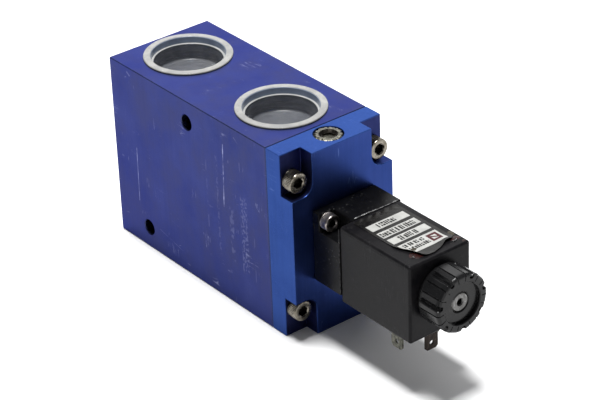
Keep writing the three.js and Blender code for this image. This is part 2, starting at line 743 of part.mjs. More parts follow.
const NOZZLE = { radius: 2.9, from: 122.45, shoulder: 124.6, tipRadius: 1.8, tip: 126.3, hole: 0.6 };
const nozzleOutline = [
  [NOZZLE.hole, NOZZLE.from],
  [NOZZLE.radius, NOZZLE.from],
  [NOZZLE.radius, NOZZLE.shoulder],
  [NOZZLE.tipRadius, NOZZLE.tip],
  [NOZZLE.hole, NOZZLE.tip],
  [NOZZLE.hole, NOZZLE.from],
];
const tubeOutline = [
  [TUBE.boreRadius, TUBE_POCKET.from + FIT],
  [TUBE.flangeRadius, TUBE_POCKET.from + FIT],
  [TUBE.flangeRadius, TUBE.flangeTo],
  [TUBE.radius, TUBE.flangeTo],
  [TUBE.radius, TUBE.to],
  [TUBE.boreRadius, TUBE.to],
  [TUBE.boreRadius, TUBE_POCKET.from + FIT],
];
const EXHAUST_RADIUS = 1.3;
const coreOutline = [
  [EXHAUST_RADIUS, CORE_FACE],
  [TUBE.boreRadius - FIT, CORE_FACE],
  [TUBE.boreRadius - FIT, TUBE.to + FIT],
  [TUBE.radius, TUBE.to + FIT],
  [TUBE.radius, COIL_FRONT],
  [STUD.radius, COIL_FRONT],
  [STUD.radius, STUD.to],
  [EXHAUST_RADIUS, STUD.to],
  [EXHAUST_RADIUS, CORE_FACE],
];
const PLUNGER_SEAL = { radius: 3.2, from: NOZZLE.tip + FIT, to: 129.5 };
const plungerOutline = [
  [0, PLUNGER_SEAL.to + TOUCH],
  [PLUNGER_SEAL.radius + TOUCH, PLUNGER_SEAL.to + TOUCH],
  [PLUNGER_SEAL.radius + TOUCH, PLUNGER.from],
  [PLUNGER.radius, PLUNGER.from],
  [PLUNGER.radius, PLUNGER.to],
  [PLUNGER.backBore, PLUNGER.to],
  [PLUNGER.backBore, PLUNGER.backBoreFrom],
  [0, PLUNGER.backBoreFrom],
];

// The plunger has a flat on each side, so that air passes along it.
function plunger() {
  const flat = 5.25;
  const length = [PLUNGER.from - OVERRUN, PLUNGER.to + OVERRUN];
  const height = [AXIS_HEIGHT - PLUNGER.radius, AXIS_HEIGHT + PLUNGER.radius];
  const reach = PLUNGER.radius + OVERRUN;
  return cut(
    turnedX(plungerOutline, MEDIUM),
    box(length, [flat, reach], height),
    box(length, [-reach, -flat], height),
  );
}

const plungerSpring = {
  meanRadius: 2.5,
  wireRadius: 0.3,
  turns: 5,
  stepsPerTurn: 10,
  from: PLUNGER.backBoreFrom + TOUCH,
  to: CORE_FACE - TOUCH,
};
const TUBE_NUT = { inner: 7.15, outer: 9.75, from: TUBE.flangeTo + FIT, to: PILOT_FRONT - 2 * FIT };
const tubeNut = ring(TUBE_NUT.inner, TUBE_NUT.outer, TUBE_NUT.from, TUBE_NUT.to);
const tubeORing = { mean: 7.6, section: 0.7, station: 126.2, facets: MEDIUM };
const plungerSeal = rod(PLUNGER_SEAL.radius, PLUNGER_SEAL.from, PLUNGER_SEAL.to);

piece("pilot_nozzle", turnedX(nozzleOutline, MEDIUM), "brass");
piece("armature_tube", turnedX(tubeOutline, MEDIUM), "stainless");
piece("armature_tube_o_ring", oRing(tubeORing), "rubber");
piece("tube_ring_nut", turnedX(tubeNut, MEDIUM), "nickelSteel");
piece("fixed_core", turnedX(coreOutline, MEDIUM), "magnetSteel");
piece("plunger", plunger(), "magnetSteel");
piece("plunger_seal", turnedX(plungerSeal, MEDIUM), "rubber");
piece("plunger_spring", spring(plungerSpring), "stainless");

// ---------------------------------------------------------------- coil

const GROUND_X = CONNECTOR_X + GROUND_OFFSET;
const GROUND_BLADE_TOP = 26.4;
const POWER_BLADE_TOP = 28.4;
const INSERT = { radius: 2.6, hole: 1.3, top: 26.6 };
const SLOT_CLEARANCE = 0.1;

// The slot that holds one blade. Its long side lies along Y on the ground blade, else along X.
function bladeSlot(x, y, top, alongY) {
  const wide = BLADE.width / 2 + SLOT_CLEARANCE;
  const thin = BLADE.thickness / 2 + SLOT_CLEARANCE;
  const [halfX, halfY] = alongY ? [thin, wide] : [wide, thin];
  const height = [COIL_BOTTOM - OVERRUN, top + SLOT_CLEARANCE];
  return box([x - halfX, x + halfX], [y - halfY, y + halfY], height);
}

function coilHousing() {
  const insertTop = INSERT.top + SLOT_CLEARANCE;
  const insertHole = rod(INSERT.radius + SLOT_CLEARANCE, COIL_BOTTOM - OVERRUN, insertTop);
  const width = [-COIL_HALF_WIDTH, COIL_HALF_WIDTH];
  const bore = [
    [0, COIL_BACK - OVERRUN],
    [COIL_POCKET.radius, COIL_BACK - OVERRUN],
    [COIL_POCKET.radius, COIL_POCKET.to],
    [COIL_BORE, COIL_POCKET.to],
    [COIL_BORE, COIL_FRONT + OVERRUN],
    [0, COIL_FRONT + OVERRUN],
  ];
  return cut(
    box([COIL_BACK, COIL_FRONT], width, [COIL_BOTTOM, COIL_TOP]),
    turnedX(bore, LARGE),
    turnedZ(insertHole, SMALL, CONNECTOR_X),
    bladeSlot(GROUND_X, 0, GROUND_BLADE_TOP, true),
    bladeSlot(CONNECTOR_X, -POWER_OFFSET, POWER_BLADE_TOP, false),
    bladeSlot(CONNECTOR_X, POWER_OFFSET, POWER_BLADE_TOP, false),
  );
}

// A flat blade with a tapered tip and a hole, standing on its tip, its width along X.
function blade(top) {
  const half = BLADE.width / 2;
  const outline = new THREE.Shape();
  outline.moveTo(half - BLADE.taper, BLADE.tip);
  outline.lineTo(half, BLADE.tip + BLADE.taper);
  outline.lineTo(half, top);
  outline.lineTo(-half, top);
  outline.lineTo(-half, BLADE.tip + BLADE.taper);
  outline.lineTo(BLADE.taper - half, BLADE.tip);
  const hole = new THREE.Path();
  hole.absarc(0, BLADE.tip + BLADE.holeRise, BLADE.holeRadius, 0, FULL_TURN, true);
  outline.holes.push(hole);
  const shape = { depth: BLADE.thickness, bevelEnabled: false, curveSegments: 8 };
  const geometry = new THREE.ExtrudeGeometry(outline, shape);
  return geometry.translate(0, 0, -BLADE.thickness / 2).rotateX(QUARTER_TURN);
}

const WINDING = { radius: 11.5, from: 139, to: 169.6 };
const bobbin = { tubeRadius: 8, flangeRadius: 11.8, from: 137.35, to: 171.25 };
const bobbinOutline = [
  [COIL_BORE, bobbin.from],
  [bobbin.flangeRadius, bobbin.from],
  [bobbin.flangeRadius, WINDING.from - FIT],
  [bobbin.tubeRadius, WINDING.from - FIT],
  [bobbin.tubeRadius, WINDING.to + FIT],
  [bobbin.flangeRadius, WINDING.to + FIT],
  [bobbin.flangeRadius, bobbin.to],
  [COIL_BORE, bobbin.to],
  [COIL_BORE, bobbin.from],
];
const yoke = { inner: 12, outer: COIL_POCKET.radius - FIT, plateTo: 137.2 };
const yokePlate = ring(COIL_BORE, yoke.outer, COIL_BACK + FIT, yoke.plateTo);
const yokeSleeve = ring(yoke.inner, yoke.outer, yoke.plateTo + FIT, COIL_POCKET.to - FIT);
const winding = ring(bobbin.tubeRadius + FIT, WINDING.radius, WINDING.from, WINDING.to);
const labelUnderside = COIL_TOP + TOUCH;
const labelPlate = box(
  [LABEL.from, LABEL.to],
  LABEL.y,
  [labelUnderside, labelUnderside + LABEL.thickness],
);
const insert = ring(INSERT.hole, INSERT.radius, COIL_BOTTOM + TOUCH, INSERT.top);

piece("coil_housing", coilHousing(), "coilPlastic");
piece("coil_yoke_plate", turnedX(yokePlate, LARGE), "magnetSteel");
piece("coil_yoke_sleeve", turnedX(yokeSleeve, LARGE), "magnetSteel");
piece("coil_bobbin", turnedX(bobbinOutline, LARGE), "bobbinPlastic");
piece("coil_winding", turnedX(winding, LARGE), "copper");
piece("coil_label", labelPlate, "labelFilm");
const groundBlade = solid(blade(GROUND_BLADE_TOP).rotateZ(QUARTER_TURN));
piece("ground_blade", groundBlade, "tinned", [GROUND_X, 0, 0]);
[-1, 1].forEach((side, index) => {
  const place = [CONNECTOR_X, side * POWER_OFFSET, 0];
  piece(`power_blade_${index + 1}`, solid(blade(POWER_BLADE_TOP)), "tinned", place);
});
piece("connector_insert", turnedZ(insert, SMALL, CONNECTOR_X), "brass");

// ---------------------------------------------------------------- coil nut

// Six lobes with finger hollows between them, and three ribs along each lobe.
function nutOutline() {
  const points = 96;
  const hollow = { depth: 0.9, share: 0.42 };
  const rib = { depth: 0.35, perLobe: 3 };
  return Array.from({ length: points }, (_, index) => {
    const turn = (index / points) * NUT_LOBES;
    const share = turn - Math.floor(turn);
    const angle = (index / points) * FULL_TURN + QUARTER_TURN;
    const inHollow = Math.abs(share - 0.5) < hollow.share / 2;
    const dip = hollow.depth * Math.cos(((share - 0.5) / hollow.share) * Math.PI) ** 2;
    const lobeShare = Math.min(share, 1 - share) / ((1 - hollow.share) / 2);
    const groove = rib.depth * Math.sin((lobeShare * rib.perLobe * Math.PI) / 2) ** 2;
    const radius = NUT.radius - (inHollow ? dip : groove);
    return [radius * Math.cos(angle), AXIS_HEIGHT + radius * Math.sin(angle)];
  });
}

const NUT_RECESS = { radius: 10, depth: 1.5 };

function coilNut() {
  const chamfer = 1.2;
  const collarRadius = 11.4;
  const collarLength = 1.5;
  const frontRecess = { radius: 7.4, depth: 1.4 };
  const grip = prismX(nutOutline(), NUT.from + collarLength, NUT.to);
  const envelope = [
    [0, NUT.from],
    [collarRadius, NUT.from],
    [NUT.radius, NUT.from + collarLength],
    [NUT.radius, NUT.to - chamfer],
    [NUT.radius - chamfer, NUT.to],
    [0, NUT.to],
  ];
  const collar = turnedX(rod(collarRadius, NUT.from, NUT.from + collarLength + OVERRUN), LARGE);
  const inside = [
    [0, NUT.from - OVERRUN],
    [NUT_RECESS.radius, NUT.from - OVERRUN],
    [NUT_RECESS.radius, NUT.from + NUT_RECESS.depth],
    [NUT.boreRadius, NUT.from + NUT_RECESS.depth],
    [NUT.boreRadius, NUT.to - frontRecess.depth],
    [frontRecess.radius, NUT.to - frontRecess.depth],
    [frontRecess.radius, NUT.to + OVERRUN],
    [0, NUT.to + OVERRUN],
  ];
  return cut(join(grip, collar).intersect(turnedX(envelope, LARGE)), turnedX(inside, MEDIUM));
}

const WASHER = { inner: 7.3, outer: 9.7, thickness: 1.3 };
const washer = ring(WASHER.inner, WASHER.outer, NUT.from, NUT.from + WASHER.thickness);

piece("coil_nut", coilNut(), "nutPlastic");
piece("coil_nut_washer", turnedX(washer, MEDIUM), "rubber");

// ---------------------------------------------------------------- port caps

const capOutline = [
  [0, -CAP.depth],
  [CAP.cupEndRadius, -CAP.depth],
  [CAP.cupOuterRadius, -CAP.shoulderDepth],
  [CAP.collarRadius, -CAP.shoulderDepth],
  [CAP.collarRadius, TOUCH],
  [CAP.flangeRadius, TOUCH],
  [CAP.flangeRadius, CAP.flangeTop],
  [CAP.mouthRadius, CAP.flangeTop],
  [CAP.mouthEndRadius, -CAP.stepDepth],
  [CAP.stepRadius, -CAP.stepDepth],
  [CAP.floorRadius, -CAP.floorDepth],
  [0, -CAP.floorDepth],
];
const cap = turnedZ(capOutline, LARGE);

piece("port_cap_left", cap, "capPlastic", [LEFT_PORT_X, 0, BODY_HEIGHT]);
piece("port_cap_right", cap, "capPlastic", [RIGHT_PORT_X, 0, BODY_HEIGHT]);

export default valve;
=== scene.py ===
"""Looks of a solenoid-piloted poppet valve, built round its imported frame.

Shapes are drawn in millimetres. X is the distance from the block's blind end, Y is across the valve with
zero on its middle plane, and Z is the height above the face that it stands on.
"""
import random
from math import cos, exp, hypot, pi, radians, sin, sqrt, tau

import bmesh
import bpy
from mathutils import Matrix, Vector, noise


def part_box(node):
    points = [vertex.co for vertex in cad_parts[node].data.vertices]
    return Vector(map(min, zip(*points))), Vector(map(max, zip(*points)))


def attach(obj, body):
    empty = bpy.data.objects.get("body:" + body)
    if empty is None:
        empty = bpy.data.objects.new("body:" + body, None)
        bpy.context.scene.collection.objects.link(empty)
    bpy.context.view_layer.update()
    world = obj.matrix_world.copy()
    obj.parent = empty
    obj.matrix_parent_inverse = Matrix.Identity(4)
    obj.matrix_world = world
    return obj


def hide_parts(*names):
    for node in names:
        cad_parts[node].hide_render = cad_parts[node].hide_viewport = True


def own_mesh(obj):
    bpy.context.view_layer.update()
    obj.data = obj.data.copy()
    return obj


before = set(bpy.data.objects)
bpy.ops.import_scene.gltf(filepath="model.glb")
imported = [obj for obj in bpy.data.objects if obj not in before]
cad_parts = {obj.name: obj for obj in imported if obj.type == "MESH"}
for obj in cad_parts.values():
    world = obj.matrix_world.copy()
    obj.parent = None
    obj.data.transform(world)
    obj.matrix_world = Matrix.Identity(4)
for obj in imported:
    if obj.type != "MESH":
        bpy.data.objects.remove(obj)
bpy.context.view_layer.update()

MM = 0.001
AXIS = 40.5  # height of the bore's and the coil's centre line
LENGTH, HALF_WIDTH, HEIGHT = 103, 25, 81  # the valve block
BLIND_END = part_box("body_block")[0].x
TO_FRAME = Matrix.Translation((BLIND_END, 0, 0)) @ Matrix.Scale(MM, 4)


def add(name, data):
    """A new object in the scene."""
    obj = bpy.data.objects.new(name, data)
    bpy.context.scene.collection.objects.link(obj)
    return obj


# ---- camera

optics = bpy.data.cameras.new("camera")
optics.lens, optics.sensor_width, optics.clip_start, optics.clip_end = 147.77, 36, 0.05, 20
camera = add("camera", optics)
azimuth, elevation, roll = radians(52.36), radians(30.13), radians(-2.18)
turned = Matrix.Rotation(azimuth, 4, "Z") @ Matrix.Rotation(pi / 2 - elevation, 4, "X") @ Matrix.Rotation(roll, 4, "Z")
camera.matrix_world = Matrix.Translation((0.6628, -0.5130, 0.5308)) @ turned
bpy.context.scene.camera = camera

# ---- shapes

ROUND = 96  # segments of a full circle
WIDE_FACE_WEIGHT = 60  # how strongly a wide face draws the normals of its corners
SHARP = radians(28)  # edges bent further than this stay sharp
SAME_POINT = 1e-5  # points nearer than this are one


def wobble(x, y, z):
    """A smooth random value between -1 and 1, always the same at the same place."""
    return noise.noise(Vector((x, y, z)))


def taken(bm, name="shape"):
    """The mesh that was being built."""
    mesh = bpy.data.meshes.new(name)
    bm.to_mesh(mesh)
    bm.free()
    return mesh


def mesh_of(bm):
    bmesh.ops.remove_doubles(bm, verts=bm.verts, dist=SAME_POINT)
    bmesh.ops.recalc_face_normals(bm, faces=bm.faces)
    return taken(bm)


def join(bm, rings):
    """Faces between each ring of points and the next. A ring may be a single point."""
    for a, b in zip(rings, rings[1:]):
        count = max(len(a), len(b))
        for i in range(count):
            j = (i + 1) % count
            corners = dict.fromkeys([a[i % len(a)], a[j % len(a)], b[j % len(b)], b[i % len(b)]])
            if len(corners) > 2:
                bm.faces.new(list(corners))


def skinned(rows, ends):
    """A closed body drawn over rings of points, with a face over each of the rings that ends names."""
    bm = bmesh.new()
    rings = [[bm.verts.new(point) for point in row] for row in rows]
    join(bm, rings)
    for end in ends:
        bm.faces.new(rings[end])
    return mesh_of(bm)


def placed(axis, station, u, v, centre):
    """A point at a station along an axis, with u and v measured from a centre line parallel to it."""
    a, b = centre[0] + u, centre[1] + v
    return {"X": (station, a, b), "Y": (a, station, b), "Z": (a, b, station)}[axis]


def eased(outline, size, steps):
    """The outline with each corner rounded. A point's third number is its own radius."""
    loop = outline[0][0] > 0
    last = len(outline) - 1
    result = []
    for index, point in enumerate(outline):
        here = Vector(point[:2])
        reach = point[2] if len(point) > 2 else size
        if reach <= 0 or (not loop and index in (0, last)):
            result.append(tuple(here))
            continue
        before = Vector(outline[index - 1][:2]) - here
        after = Vector(outline[0 if index == last else index + 1][:2]) - here
        reach = min(reach, before.length * 0.45, after.length * 0.45)
        start, end = here + before.normalized() * reach, here + after.normalized() * reach
        for step in range(steps + 1):
            t = step / steps
            result.append(tuple(start * (1 - t) ** 2 + here * 2 * t * (1 - t) + end * t * t))
    return result


def lathe(outline, axis="X", centre=(0, AXIS), ease=0, steps=2, segments=ROUND, warp=None):
    """A body of revolution from [radius, station] points: a solid that starts and ends on the axis, or a ring."""
    if ease:
        outline = eased(outline, ease, steps)
    bm = bmesh.new()
    rows = []
    for radius, station in outline:
        if radius < SAME_POINT:
            rows.append([bm.verts.new(placed(axis, station, 0, 0, centre))])
            continue
        row = []
        for index in range(segments):
            angle = index / segments * tau
            r = warp(radius, station, angle) if warp else radius
            row.append(bm.verts.new(placed(axis, station, r * cos(angle), r * sin(angle), centre)))
        rows.append(row)
    join(bm, rows + rows[:1] if outline[0][0] > 0 else rows)
    return mesh_of(bm)


def rod(radius, start, end, **options):
    return lathe([(0, start), (radius, start), (radius, end), (0, end)], **options)


def hole(radius, start, end, centre, axis="X", segments=24):
    """The cutting shape of a small hole."""
    return rod(radius, start, end, axis=axis, centre=centre, segments=segments)


def tube(inner, outer, start, end, **options):
    return lathe([(inner, start), (outer, start), (outer, end), (inner, end)], **options)


def drill(radius, start, end, chamfer, **options):
    """A hole's cutting shape whose ends, each 1 mm outside the part, open into a chamfer."""
    wide = radius + chamfer
    outline = [
        (0, start - 1), (wide + 1, start - 1), (wide, start), (radius, start + chamfer),
        (radius, end - chamfer), (wide, end), (wide + 1, end + 1), (0, end + 1),
    ]
    return lathe(outline, **options)


def prism(points, start, end, axis="X", ease=0, segments=2):
    """A flat outline drawn out along an axis."""
    bm = bmesh.new()
    near = [bm.verts.new(placed(axis, start, u, v, (0, 0))) for u, v in points]
    far = [bm.verts.new(placed(axis, end, u, v, (0, 0))) for u, v in points]
    bm.faces.new(near)
    bm.faces.new(far[::-1])
    for index in range(len(points)):
        following = (index + 1) % len(points)
        bm.faces.new([near[index], far[index], far[following], near[following]])
    bmesh.ops.recalc_face_normals(bm, faces=bm.faces)
    return mesh_of(ease_edges(bm, ease, segments))


def ease_edges(bm, size, segments):
    if size:
        edges = [e for e in bm.edges if e.is_manifold and e.calc_face_angle() > SHARP]
        bmesh.ops.bevel(
            bm, geom=edges, offset=size, segments=segments, profile=0.5, affect="EDGES", clamp_overlap=True
        )
    return bm


def softened(mesh, size, segments=2):
    """The mesh with its sharp edges rounded."""
    bm = bmesh.new()
    bm.from_mesh(mesh)
    return mesh_of(ease_edges(bm, size, segments))


def box(x, y, z, ease=0, segments=2):
    corners = [(y[0], z[0]), (y[1], z[0]), (y[1], z[1]), (y[0], z[1])]
    return prism(corners, x[0], x[1], "X", ease, segments)


def circle(radius, count, start=0, centre=(0, 0)):
    """Points evenly round a circle."""
    angles = [start + index * tau / count for index in range(count)]
    return [(centre[0] + radius * cos(a), centre[1] + radius * sin(a)) for a in angles]


def hexagon(across, centre=(0, 0), turn=0):
    return circle(across / sqrt(3), 6, turn, centre)


def combine(mesh, tools, operation="DIFFERENCE"):
    """The mesh with each tool cut from it or joined to it."""
    base = add("base", mesh)
    others = [add("tool", tool) for tool in tools]
    for other in others:
        modifier = base.modifiers.new("combine", "BOOLEAN")
        modifier.object, modifier.operation, modifier.solver = other, operation, "MANIFOLD"
    graph = bpy.context.evaluated_depsgraph_get()
    result = bpy.data.meshes.new_from_object(base.evaluated_get(graph))
    for thing in [base, *others]:
        bpy.data.objects.remove(thing)
    return result


def moved(mesh, x=0, y=0, z=0):
    copy = mesh.copy()
    copy.transform(Matrix.Translation((x, y, z)))
    return copy


def merged(*meshes):
    """Several closed bodies in one mesh."""
    bm = bmesh.new()
    for mesh in meshes:
        bm.from_mesh(mesh)
    return taken(bm)


def threaded(minor, depth, pitch, start, end, centre):
    """The cutting shape of a hole tapped along Z: one rounded helical thread that fades out at both ends."""
    segments, per_pitch = 72, 8
    rows = round((end - start) / pitch * per_pitch)
    side = [(minor, start + (end - start) * row / rows) for row in range(rows + 1)]

    def wound(radius, station, angle):
        phase = (station - start) / pitch - angle / tau
        fade = min(1, (station - start) / pitch, (end - station) / pitch)
        return radius + depth * max(0, fade) * (0.5 - 0.5 * cos(phase * tau))

    return lathe([(0, start), *side, (0, end)], "Z", centre, segments=segments, warp=wound)


def helix(mean, wire, turns, start, end, per_turn=28):
    """A closed and ground compression spring along X, its end turns lying flat."""
    flat_turns = 0.75
    steps = turns * per_turn
    low, high = start + wire, end - wire
    rows = []
    for step in range(steps + 1):
        share = step / steps
        angle = share * turns * tau
        lie = min(1, max(0, (share * turns - flat_turns) / (turns - 2 * flat_turns)))
        middle = Vector((low + (high - low) * lie, 0, AXIS))
        out = Vector((0, cos(angle), sin(angle)))
        rows.append([middle + out * (mean + a) + Vector((b, 0, 0)) for a, b in circle(wire, 10)])
    return skinned(rows, (0, -1))


def sheet_body(columns, rows, point, thickness):
    """A thin closed body whose top surface is point(u, v), with u and v from 0 to 1."""
    bm = bmesh.new()
    top, under = [], []
    for i in range(columns + 1):
        line = [point(i / columns, j / rows) for j in range(rows + 1)]
        top.append([bm.verts.new(place) for place in line])
        under.append([bm.verts.new((x, y, z - thickness)) for x, y, z in line])
    for i in range(columns):
        for j in range(rows):
            bm.faces.new([top[i][j], top[i + 1][j], top[i + 1][j + 1], top[i][j + 1]])
            bm.faces.new([under[i][j], under[i][j + 1], under[i + 1][j + 1], under[i + 1][j]])
    rim = [(i, 0) for i in range(columns)] + [(columns, j) for j in range(rows)]
    rim += [(i, rows) for i in range(columns, 0, -1)] + [(0, j) for j in range(rows, 0, -1)]
    for (i, j), (k, m) in zip(rim, rim[1:] + rim[:1]):
        bm.faces.new([top[i][j], under[i][j], under[k][m], top[k][m]])
    return mesh_of(bm)


def flatten_shading(obj):
    """Weighs each corner's normal by face area, so that a wide face beside a narrow bevel stays flat."""
    modifier = obj.modifiers.new("shading", "WEIGHTED_NORMAL")
    modifier.mode, modifier.weight, modifier.keep_sharp = "FACE_AREA", WIDE_FACE_WEIGHT, True
    plain = obj.data
    name = plain.name
    obj.data = bpy.data.meshes.new_from_object(obj.evaluated_get(bpy.context.evaluated_depsgraph_get()))
    obj.modifiers.clear()
    bpy.data.meshes.remove(plain)
    obj.data.name = name


def piece(name, mesh, looks, body, stands_for=(), which=None):
    """Puts a finished shape in the frame, on its body, in place of the CAD nodes that it stands for. Where it has
    several looks, which(middle) gives the number of the one that a face takes, from its middle in millimetres."""
    bm = bmesh.new()
    bm.from_mesh(mesh)
    bmesh.ops.recalc_face_normals(bm, faces=bm.faces)
    for face in bm.faces:
        face.smooth = True
        face.material_index = int(which(face.calc_center_median())) if which else 0
    bmesh.ops.transform(bm, matrix=TO_FRAME, verts=bm.verts)
    for edge in bm.edges:
        edge.smooth = edge.is_manifold and edge.calc_face_angle() < SHARP
    clean = taken(bm, name)
    for material in looks if isinstance(looks, list) else [looks]:
        clean.materials.append(material)
    obj = add(name, clean)
    flatten_shading(obj)
    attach(obj, body)
    if stands_for:
        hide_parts(*stands_for)
    return obj


# ---- materials


class Finish:
    """A material whose nodes work in millimetres of the part's own space."""

    def __init__(self, name):
        self.material = bpy.data.materials.new(name)
        self.material.use_nodes = True
        self.tree = self.material.node_tree
        self.shader = self.tree.nodes["Principled BSDF"]
        self.space = self.vector("MULTIPLY", self.node("TexCoord").outputs["Object"], (1 / MM,) * 3).outputs[0]

    def link(self, value, socket):
        if isinstance(value, bpy.types.NodeSocket):
            self.tree.links.new(value, socket)
        else:
            socket.default_value = value

    def node(self, kind, *inputs, operation=None):
        """A new node with its first inputs set or linked."""
        node = self.tree.nodes.new("ShaderNode" + kind)
        if operation:
            node.operation = operation
        for value, socket in zip(inputs, node.inputs):
            self.link(value, socket)
        return node

    def math(self, operation, a, b=0):
        return self.node("Math", a, b, operation=operation).outputs[0]

    def vector(self, operation, *inputs):
        return self.node("VectorMath", *inputs, operation=operation)

    def times(self, a, b):
        return self.math("MULTIPLY", a, b)

    def away(self, value, middle):
        """How far the value is from the middle."""
        return self.math("ABSOLUTE", self.math("SUBTRACT", value, middle))

    def noise(self, size, detail=3, stretch=(1, 1, 1), offset=0):
        """Cloudy values from 0 to 1 with features of that size in millimetres."""
        scale = tuple(1 / (size * longer) for longer in stretch)
        node = self.node("TexNoise", self.vector("MULTIPLY", self.space, scale).outputs[0])
        node.noise_dimensions = "4D"
        for key, value in (("W", offset), ("Scale", 1), ("Detail", detail), ("Roughness", 0.6)):
            node.inputs[key].default_value = value
        return node.outputs["Fac"]

    def part(self, axis):
        """One coordinate of the part's own space, in millimetres."""
        return self.node("SeparateXYZ", self.space).outputs[axis]

    def span(self, value, low, high, to_low=0, to_high=1):
        """The value, taken from low..high to to_low..to_high and held within them."""
        node = self.node("MapRange", value, low, high, to_low, to_high)
        node.clamp = True
        return node.outputs[0]

    def band(self, axis, middle, half, soft):
        """1 within that half width of the middle, along one axis, fading out over a soft margin."""
        return self.span(self.away(self.part(axis), middle), half - soft, half + soft, 1, 0)

    def mix(self, share, a, b):
        node = self.node("Mix")
        node.data_type = "RGBA"
        self.link(share, node.inputs[0])
        for value, socket in ((a, node.inputs[6]), (b, node.inputs[7])):
            self.link(value if isinstance(value, bpy.types.NodeSocket) else (*value, 1), socket)
        return node.outputs[2]

    def edges(self, reach):
        """How near a convex or concave edge is: 0 on a flat face, up to 1 on a rounded corner."""
        rounded = self.node("Bevel", reach * MM)
        rounded.samples = 4
        facing = self.node("NewGeometry").outputs["Normal"]
        dot = self.vector("DOT_PRODUCT", rounded.outputs[0], facing)
        return self.span(dot.outputs["Value"], 0.995, 0.86)

    def scratches(self, size, stretch, share, offset=0):
        """Thin lines, drawn out along one direction, that show on that share of the surface."""
        thin = self.span(self.away(self.noise(size, 1, stretch, offset), 0.5), 0, 0.012, 1, 0)
        where = self.span(self.noise(9, 2, offset=offset + 5), 0.62 - share, 0.7 - share)
        return self.times(thin, where)

    def line(self, start, end, width):
        """1 on the straight line between two points in the part's own space, fading out at that width."""
        along = end - start
        here = self.vector("SUBTRACT", self.space, start).outputs[0]
        dot = self.vector("DOT_PRODUCT", here, along / along.length_squared)
        nearest = self.vector("SCALE", along)
        self.link(self.span(dot.outputs["Value"], 0, 1), nearest.inputs["Scale"])
        gap = self.vector("DISTANCE", here, nearest.outputs[0])
        bent = self.math("ADD", gap.outputs["Value"], self.span(self.noise(5, 2), 0.3, 0.7, 0, width * 1.2))
        return self.span(bent, width * 0.4, width * 1.4, 1, 0)

    def bump(self, height, strength, distance):
        node = self.node("Bump", strength, distance * MM)
        self.link(height, node.inputs["Height"])
        self.link(node.outputs[0], self.shader.inputs["Normal"])

    def set(self, **values):
        names = {
            "colour": "Base Color", "metal": "Metallic", "rough": "Roughness", "ior": "IOR",
            "clear": "Transmission Weight", "specular": "Specular IOR Level", "edge": "Specular Tint",
        }
        for key, value in values.items():
            if key in ("colour", "edge") and not isinstance(value, bpy.types.NodeSocket):
                value = (*value, 1)
            self.link(value, self.shader.inputs[names[key]])


def finish_of(
    name, dark, light, rough, patch, grain, scratch, *, metal=0, wear=None, worn=(0.42, 0.62), speckle=0,
    turned=(1, 1, 1), gouges=(), brushed=(), etched=(), low_shade=0, **extra
):
    """A used technical surface: cloudy colour in patches of a size, grain (its size and depth), scratches (their share
    and colour), edges tinted another colour in patches (how far the tint reaches and its colour), and the bump of all
    of them. The edge tint is painted edge highlight on the blue cover and the black mouldings, and painted edge shade
    on the indigo block; low_shade paints shade that darkens the lower part."""
    f = Finish(name)
    grain, grain_depth = grain
    scratch, scratch_colour = scratch
    reach, edge_wear_and_light_colour = wear or (0, grey(0.6))
    clouds = f.noise(patch, 4)
    fine = f.noise(grain, 2, turned, 2)
    marks = f.math("MAXIMUM", f.scratches(2.2, (9, 0.7, 1), scratch, 1), f.scratches(2.6, (0.6, 1, 8), scratch, 7))
    colour = f.mix(f.span(clouds, 0.35, 0.65), dark, light)
    if brushed:
        mottled, streaked = brushed
        faded = tuple(0.55 * channel + 0.45 * min(light) for channel in light)
        mottle = f.span(f.noise(11, 5, (1, 1, 1.6), 13), 0.42, 0.66, 0, mottled)
        streaks = f.span(f.noise(1.1, 2, (1, 1, 40), 11), 0.4, 0.7, 0, streaked)
        colour = f.mix(streaks, f.mix(mottle, colour, faded), tuple(channel * 0.6 for channel in dark))
    # painted shade: the colour darkens towards the bottom of the part
    if low_shade:
        shade = f.span(f.part("Z"), 4, 58, low_shade, 0)
        colour = f.mix(shade, colour, tuple(channel * 0.4 for channel in dark))
    for middle, half, low, high, size, strength in etched:
        dashes = f.span(f.noise(size, 1, (0.7, 1000, 1), middle), 0.5, 0.57, 0, strength)
        height = f.band("Z", (low + high) / 2, (high - low) / 2, 1)
        place = f.times(f.band("X", middle, half, 0.25), height)
        near_side = f.span(f.part("Y"), 0.1 - HALF_WIDTH, 0.3 - HALF_WIDTH, 1, 0)
        share = f.times(f.times(place, near_side), dashes)
        colour = f.mix(share, colour, scratch_colour)
    if speckle:
        specks = f.span(f.noise(grain * 2, 1, offset=9), 0.66, 0.72, 0, speckle)
        colour = f.mix(specks, colour, edge_wear_and_light_colour)
    colour = f.mix(f.times(marks, 0.55), colour, scratch_colour)
    roughness = f.span(f.math("ADD", clouds, f.times(fine, 0.6)), 0.45, 1.15, *rough)
    # edges tinted another colour in patches: painted edge highlight on the blue cover and the black mouldings, painted
    # edge shade on the indigo block
    if reach:
        edge_wear_and_light_share = f.times(f.edges(reach), f.span(f.noise(3, 4, offset=4), *worn))
        colour = f.mix(f.times(edge_wear_and_light_share, 0.8), colour, edge_wear_and_light_colour)
    for start, end, width, share in gouges:
        colour = f.mix(f.times(f.line(start, end, width), share), colour, scratch_colour)
    f.set(colour=colour, metal=metal, rough=roughness, **extra)
    f.bump(f.math("SUBTRACT", fine, f.times(marks, 0.8)), 0.5, grain_depth * 4)
    return f.material


def grey(level):
    return (level,) * 3


def on_side(x, z):
    """A point on the block's near side, in millimetres of the part's own space."""
    return (TO_FRAME @ Vector((x, -HALF_WIDTH, z))) / MM


